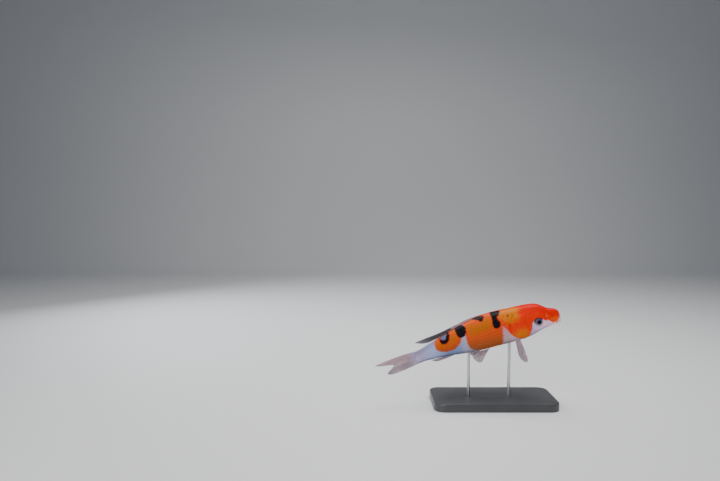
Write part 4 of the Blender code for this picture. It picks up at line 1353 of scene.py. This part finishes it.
def make_membrane(name, rays, first, last, count, finish):
    """The thin skin of a fin, with an edge that is scalloped between the rays."""
    columns = np.linspace(0, 1, count * COLUMNS_PER_RAY + 1)
    phase = columns * count - 0.5
    scallop = 0.975 - 0.018 * (0.5 - 0.5 * np.cos(2 * math.pi * phase))
    along = np.linspace(0, 1, MEMBRANE_ROWS)[:, None] * scallop
    t = np.broadcast_to(first + (last - first) * columns, along.shape)
    middle, normal = waved_place(rays, t, along)
    depth = (MEMBRANE_ROOT + (MEMBRANE_EDGE - MEMBRANE_ROOT) * np.sqrt(along))[..., None]
    grids = [posed((middle + normal * depth * side / 2) * LENGTH) for side in (1, -1)]
    piece = closed_sheet(name.replace("_fin", "_membrane"), *grids, finish)
    values = (-middle[..., 0], t, along, np.broadcast_to(phase, t.shape))
    give_fin(piece, name, *(np.tile(value.ravel(), 2) for value in values))
    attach(piece, "root")
    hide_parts(name)


def ray_guides(first, last, count):
    """(t, along, thickness) along each stretch of every ray: its stem, its two forks and their twigs."""
    gap = (last - first) / count
    guides = []
    for i in range(count):
        middle = first + (i + 0.5) * gap
        stiff = i == 0
        stem = np.linspace(-0.02, 1.0 if stiff else FORK, RAY_STEPS + 3)
        guides.append((middle + 0 * stem, stem, 1 - 0.55 * stem))
        for a in () if stiff else (-1, 1):
            fork = np.linspace(FORK - 0.03, TWIG, RAY_STEPS)
            spread = FORK_SPREAD * a * step(fork, FORK - 0.03, TWIG)
            guides.append((middle + gap * spread, fork, 0.75 - 0.5 * fork))
            for b in (-1, 1):
                twig = np.linspace(TWIG - 0.02, 1.0, RAY_STEPS)
                spread = FORK_SPREAD * a + TWIG_SPREAD * b * step(twig, TWIG - 0.02, 1.0)
                guides.append((middle + gap * spread, twig, 0.62 - 0.5 * twig))
    return guides


def ray_tree():
    """Gives every guide line a round section of its own thickness, with closed ends."""
    tree, start, add = new_tree("draw_rays", {"Sides": "NodeSocketInt", "Finish": "NodeSocketMaterial"})
    thick = add("GeometryNodeInputNamedAttribute", {"Name": "thick"}, data_type="FLOAT")
    curve = add("GeometryNodeMeshToCurve", {"Mesh": start.outputs["Geometry"]})
    circle = add("GeometryNodeCurvePrimitiveCircle", {"Resolution": start.outputs["Sides"], "Radius": 1.0})
    tube = add(
        "GeometryNodeCurveToMesh",
        {
            "Curve": curve.outputs["Curve"],
            "Profile Curve": circle.outputs["Curve"],
            "Scale": thick.outputs["Attribute"],
            "Fill Caps": True,
        },
    )
    return close_tree(tree, start, add, tube.outputs["Mesh"])


def make_rays(name, rays, first, last, count, thick, finish):
    """All the rays of a fin, laid in the middle of its skin."""
    guides = ray_guides(first, last, count)
    t, along, wide = (np.concatenate([guide[i] for guide in guides]) for i in range(3))
    starts = np.cumsum([0] + [len(guide[0]) for guide in guides])
    edges = [(j, j + 1) for a, b in zip(starts, starts[1:]) for j in range(a, b - 1)]
    middle, _ = waved_place(rays, t, along)
    piece = add_points(name.replace("_fin", "_rays"), posed(middle * LENGTH), edges)
    give(piece, "thick", wide * thick / 2 * LENGTH)
    phase = (t - first) / (last - first) * count - 0.5
    give_fin(piece, name, -middle[:, 0], t, along, phase)
    nodes_on(piece, RAY_TREE, {"Sides": RAY_SIDES, "Finish": finish})
    piece.data.shade_smooth()
    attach(piece, "root")
    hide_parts(name)


MEMBRANE_FINISH, RAY_FINISH = membrane_finish(), ray_finish()
RAY_TREE = ray_tree()
for *blade, thickness in FINS:
    make_membrane(*blade, MEMBRANE_FINISH)
    make_rays(*blade, thickness, RAY_FINISH)


# ---------------------------------------------------------------------------------------------
# The display stand: a small plate in charcoal satin paint, and two steel rods brushed round, which
# stand in sockets in the plate and hold the fish under the belly.


CHARCOAL, PALE_CHARCOAL, WORN_EDGE = (0.030, 0.031, 0.034), (0.042, 0.043, 0.047), (0.10, 0.10, 0.11)
STEEL, BRIGHT_STEEL = (0.55, 0.55, 0.56), (0.64, 0.64, 0.65)


def plate_finish():
    paint = Paint("charcoal_paint")
    place = paint.node("ShaderNodeTexCoord", output="Object")
    grain = paint.noise(place, 900.0, 2.0)
    cloud = paint.noise(place, 35.0, 4.0)
    edge = paint.node("ShaderNodeNewGeometry", output="Pointiness")
    colour = paint.blend(cloud.step(0.35, 0.70), CHARCOAL, PALE_CHARCOAL)
    colour = paint.blend(edge.step(0.53, 0.60) * 0.5, colour, WORN_EDGE)
    return paint.finish(
        Base_Color=colour,
        Roughness=cloud * 0.14 + 0.36,
        Coat_Weight=grain * 0.1 + 0.1,
        Normal=paint.bump(grain, 0.12, 0.0002),
    )


def rod_finish():
    paint = Paint("brushed_rod")
    place = paint.node("ShaderNodeTexCoord", output="Object")
    squeezed = paint.node("ShaderNodeMapping", None, {"Vector": place, "Scale": (40.0, 40.0, 700.0)})
    lines = paint.noise(squeezed, 1.0, 3.0)
    colour = paint.blend(lines, STEEL, BRIGHT_STEEL)
    return paint.finish(
        Base_Color=colour,
        Metallic=lines * 0.04 + 0.96,
        Roughness=lines * 0.10 + 0.24,
        Normal=paint.bump(lines, 0.15, 0.0001),
    )


def repaint(name, finish):
    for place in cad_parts[name].material_slots:
        place.material = finish


PLATE_FINISH, ROD_FINISH = plate_finish(), rod_finish()
repaint("stand_base", PLATE_FINISH)
repaint("stand_rod_front", ROD_FINISH)
repaint("stand_rod_rear", ROD_FINISH)


# ---------------------------------------------------------------------------------------------
# The studio: a pale floor that sweeps up behind into a backdrop, a wide soft light overhead, a
# softer one from the camera's side and a low one from behind the tail.

FLOOR_COLOUR = (0.72, 0.73, 0.74)
FLOOR_FRONT, FLOOR_BACK, FLOOR_HALF_WIDTH, FLOOR_THICKNESS = -1.6, 1.1, 2.4, 0.01
FLOOR_DROP = 0.0002  # that it lies under the stand
SWEEP_RADIUS, BACKDROP_HEIGHT = 0.45, 1.9
AIR_COLOUR, AIR_STRENGTH = (0.85, 0.90, 1.0), 0.20
FISH = (0, 0, SPINE_HEIGHT)
# name, place, size, power, colour
LIGHTS = (
    ("overhead_light", (0.05, 0.10, 0.95), (0.8, 0.6), 11.0, (1.0, 0.99, 0.97)),
    ("front_light", (-0.45, -0.95, 0.60), (0.6, 0.6), 7.0, (1.0, 0.98, 0.95)),
    ("rim_light", (-0.60, 0.55, 0.40), (0.4, 0.4), 2.5, (0.9, 0.95, 1.0)),
)


def make_floor():
    """One closed slab whose section runs forward, curves up and rises as the backdrop."""
    turn = np.linspace(0.05, math.pi / 2, 24)
    sweep = np.stack([FLOOR_BACK + SWEEP_RADIUS * np.sin(turn), SWEEP_RADIUS * (1 - np.cos(turn))], -1)
    ends = [(FLOOR_FRONT, 0.0), (FLOOR_BACK, 0.0)], [(FLOOR_BACK + SWEEP_RADIUS, BACKDROP_HEIGHT)]
    inner = np.concatenate([ends[0], sweep, ends[1]])
    away = np.gradient(inner, axis=0)
    away = np.stack([away[:, 1], -away[:, 0]], -1)
    outer = inner + away / np.linalg.norm(away, axis=1, keepdims=True) * FLOOR_THICKNESS
    outline = np.concatenate([inner, outer[::-1]])
    points = [(x, y, z - FLOOR_DROP) for x in (-FLOOR_HALF_WIDTH, FLOOR_HALF_WIDTH) for y, z in outline]
    count = len(outline)
    faces = [(i, (i + 1) % count, count + (i + 1) % count, count + i) for i in range(count)]
    rows = len(inner)
    for start in (0, count):
        for i in range(rows - 1):
            faces.append((start + i, start + i + 1, start + count - 2 - i, start + count - 1 - i))
    paint = Paint("studio_floor")
    place = paint.node("ShaderNodeTexCoord", output="Object")
    finish = paint.finish(
        Base_Color=FLOOR_COLOUR,
        Roughness=paint.noise(place, 60.0, 3.0) * 0.1 + 0.5,
        Specular_IOR_Level=0.3,
    )
    add_mesh("studio_floor", points, faces, finish)


def make_light(name, place, size, power, colour):
    """A wide soft light that is turned to the fish."""
    light = bpy.data.lights.new(name, "AREA")
    light.shape = "RECTANGLE"
    light.size, light.size_y = size
    light.energy, light.color = power, colour
    made = bpy.data.objects.new(name, light)
    made.location = place
    made.rotation_euler = (Vector(FISH) - Vector(place)).to_track_quat("-Z", "Y").to_euler()
    bpy.context.scene.collection.objects.link(made)


make_floor()
for light in LIGHTS:
    make_light(*light)

world = bpy.data.worlds.new("studio_air")
world.use_nodes = True
world.node_tree.nodes["Background"].inputs["Color"].default_value = (*AIR_COLOUR, 1)
world.node_tree.nodes["Background"].inputs["Strength"].default_value = AIR_STRENGTH
bpy.context.scene.world = world
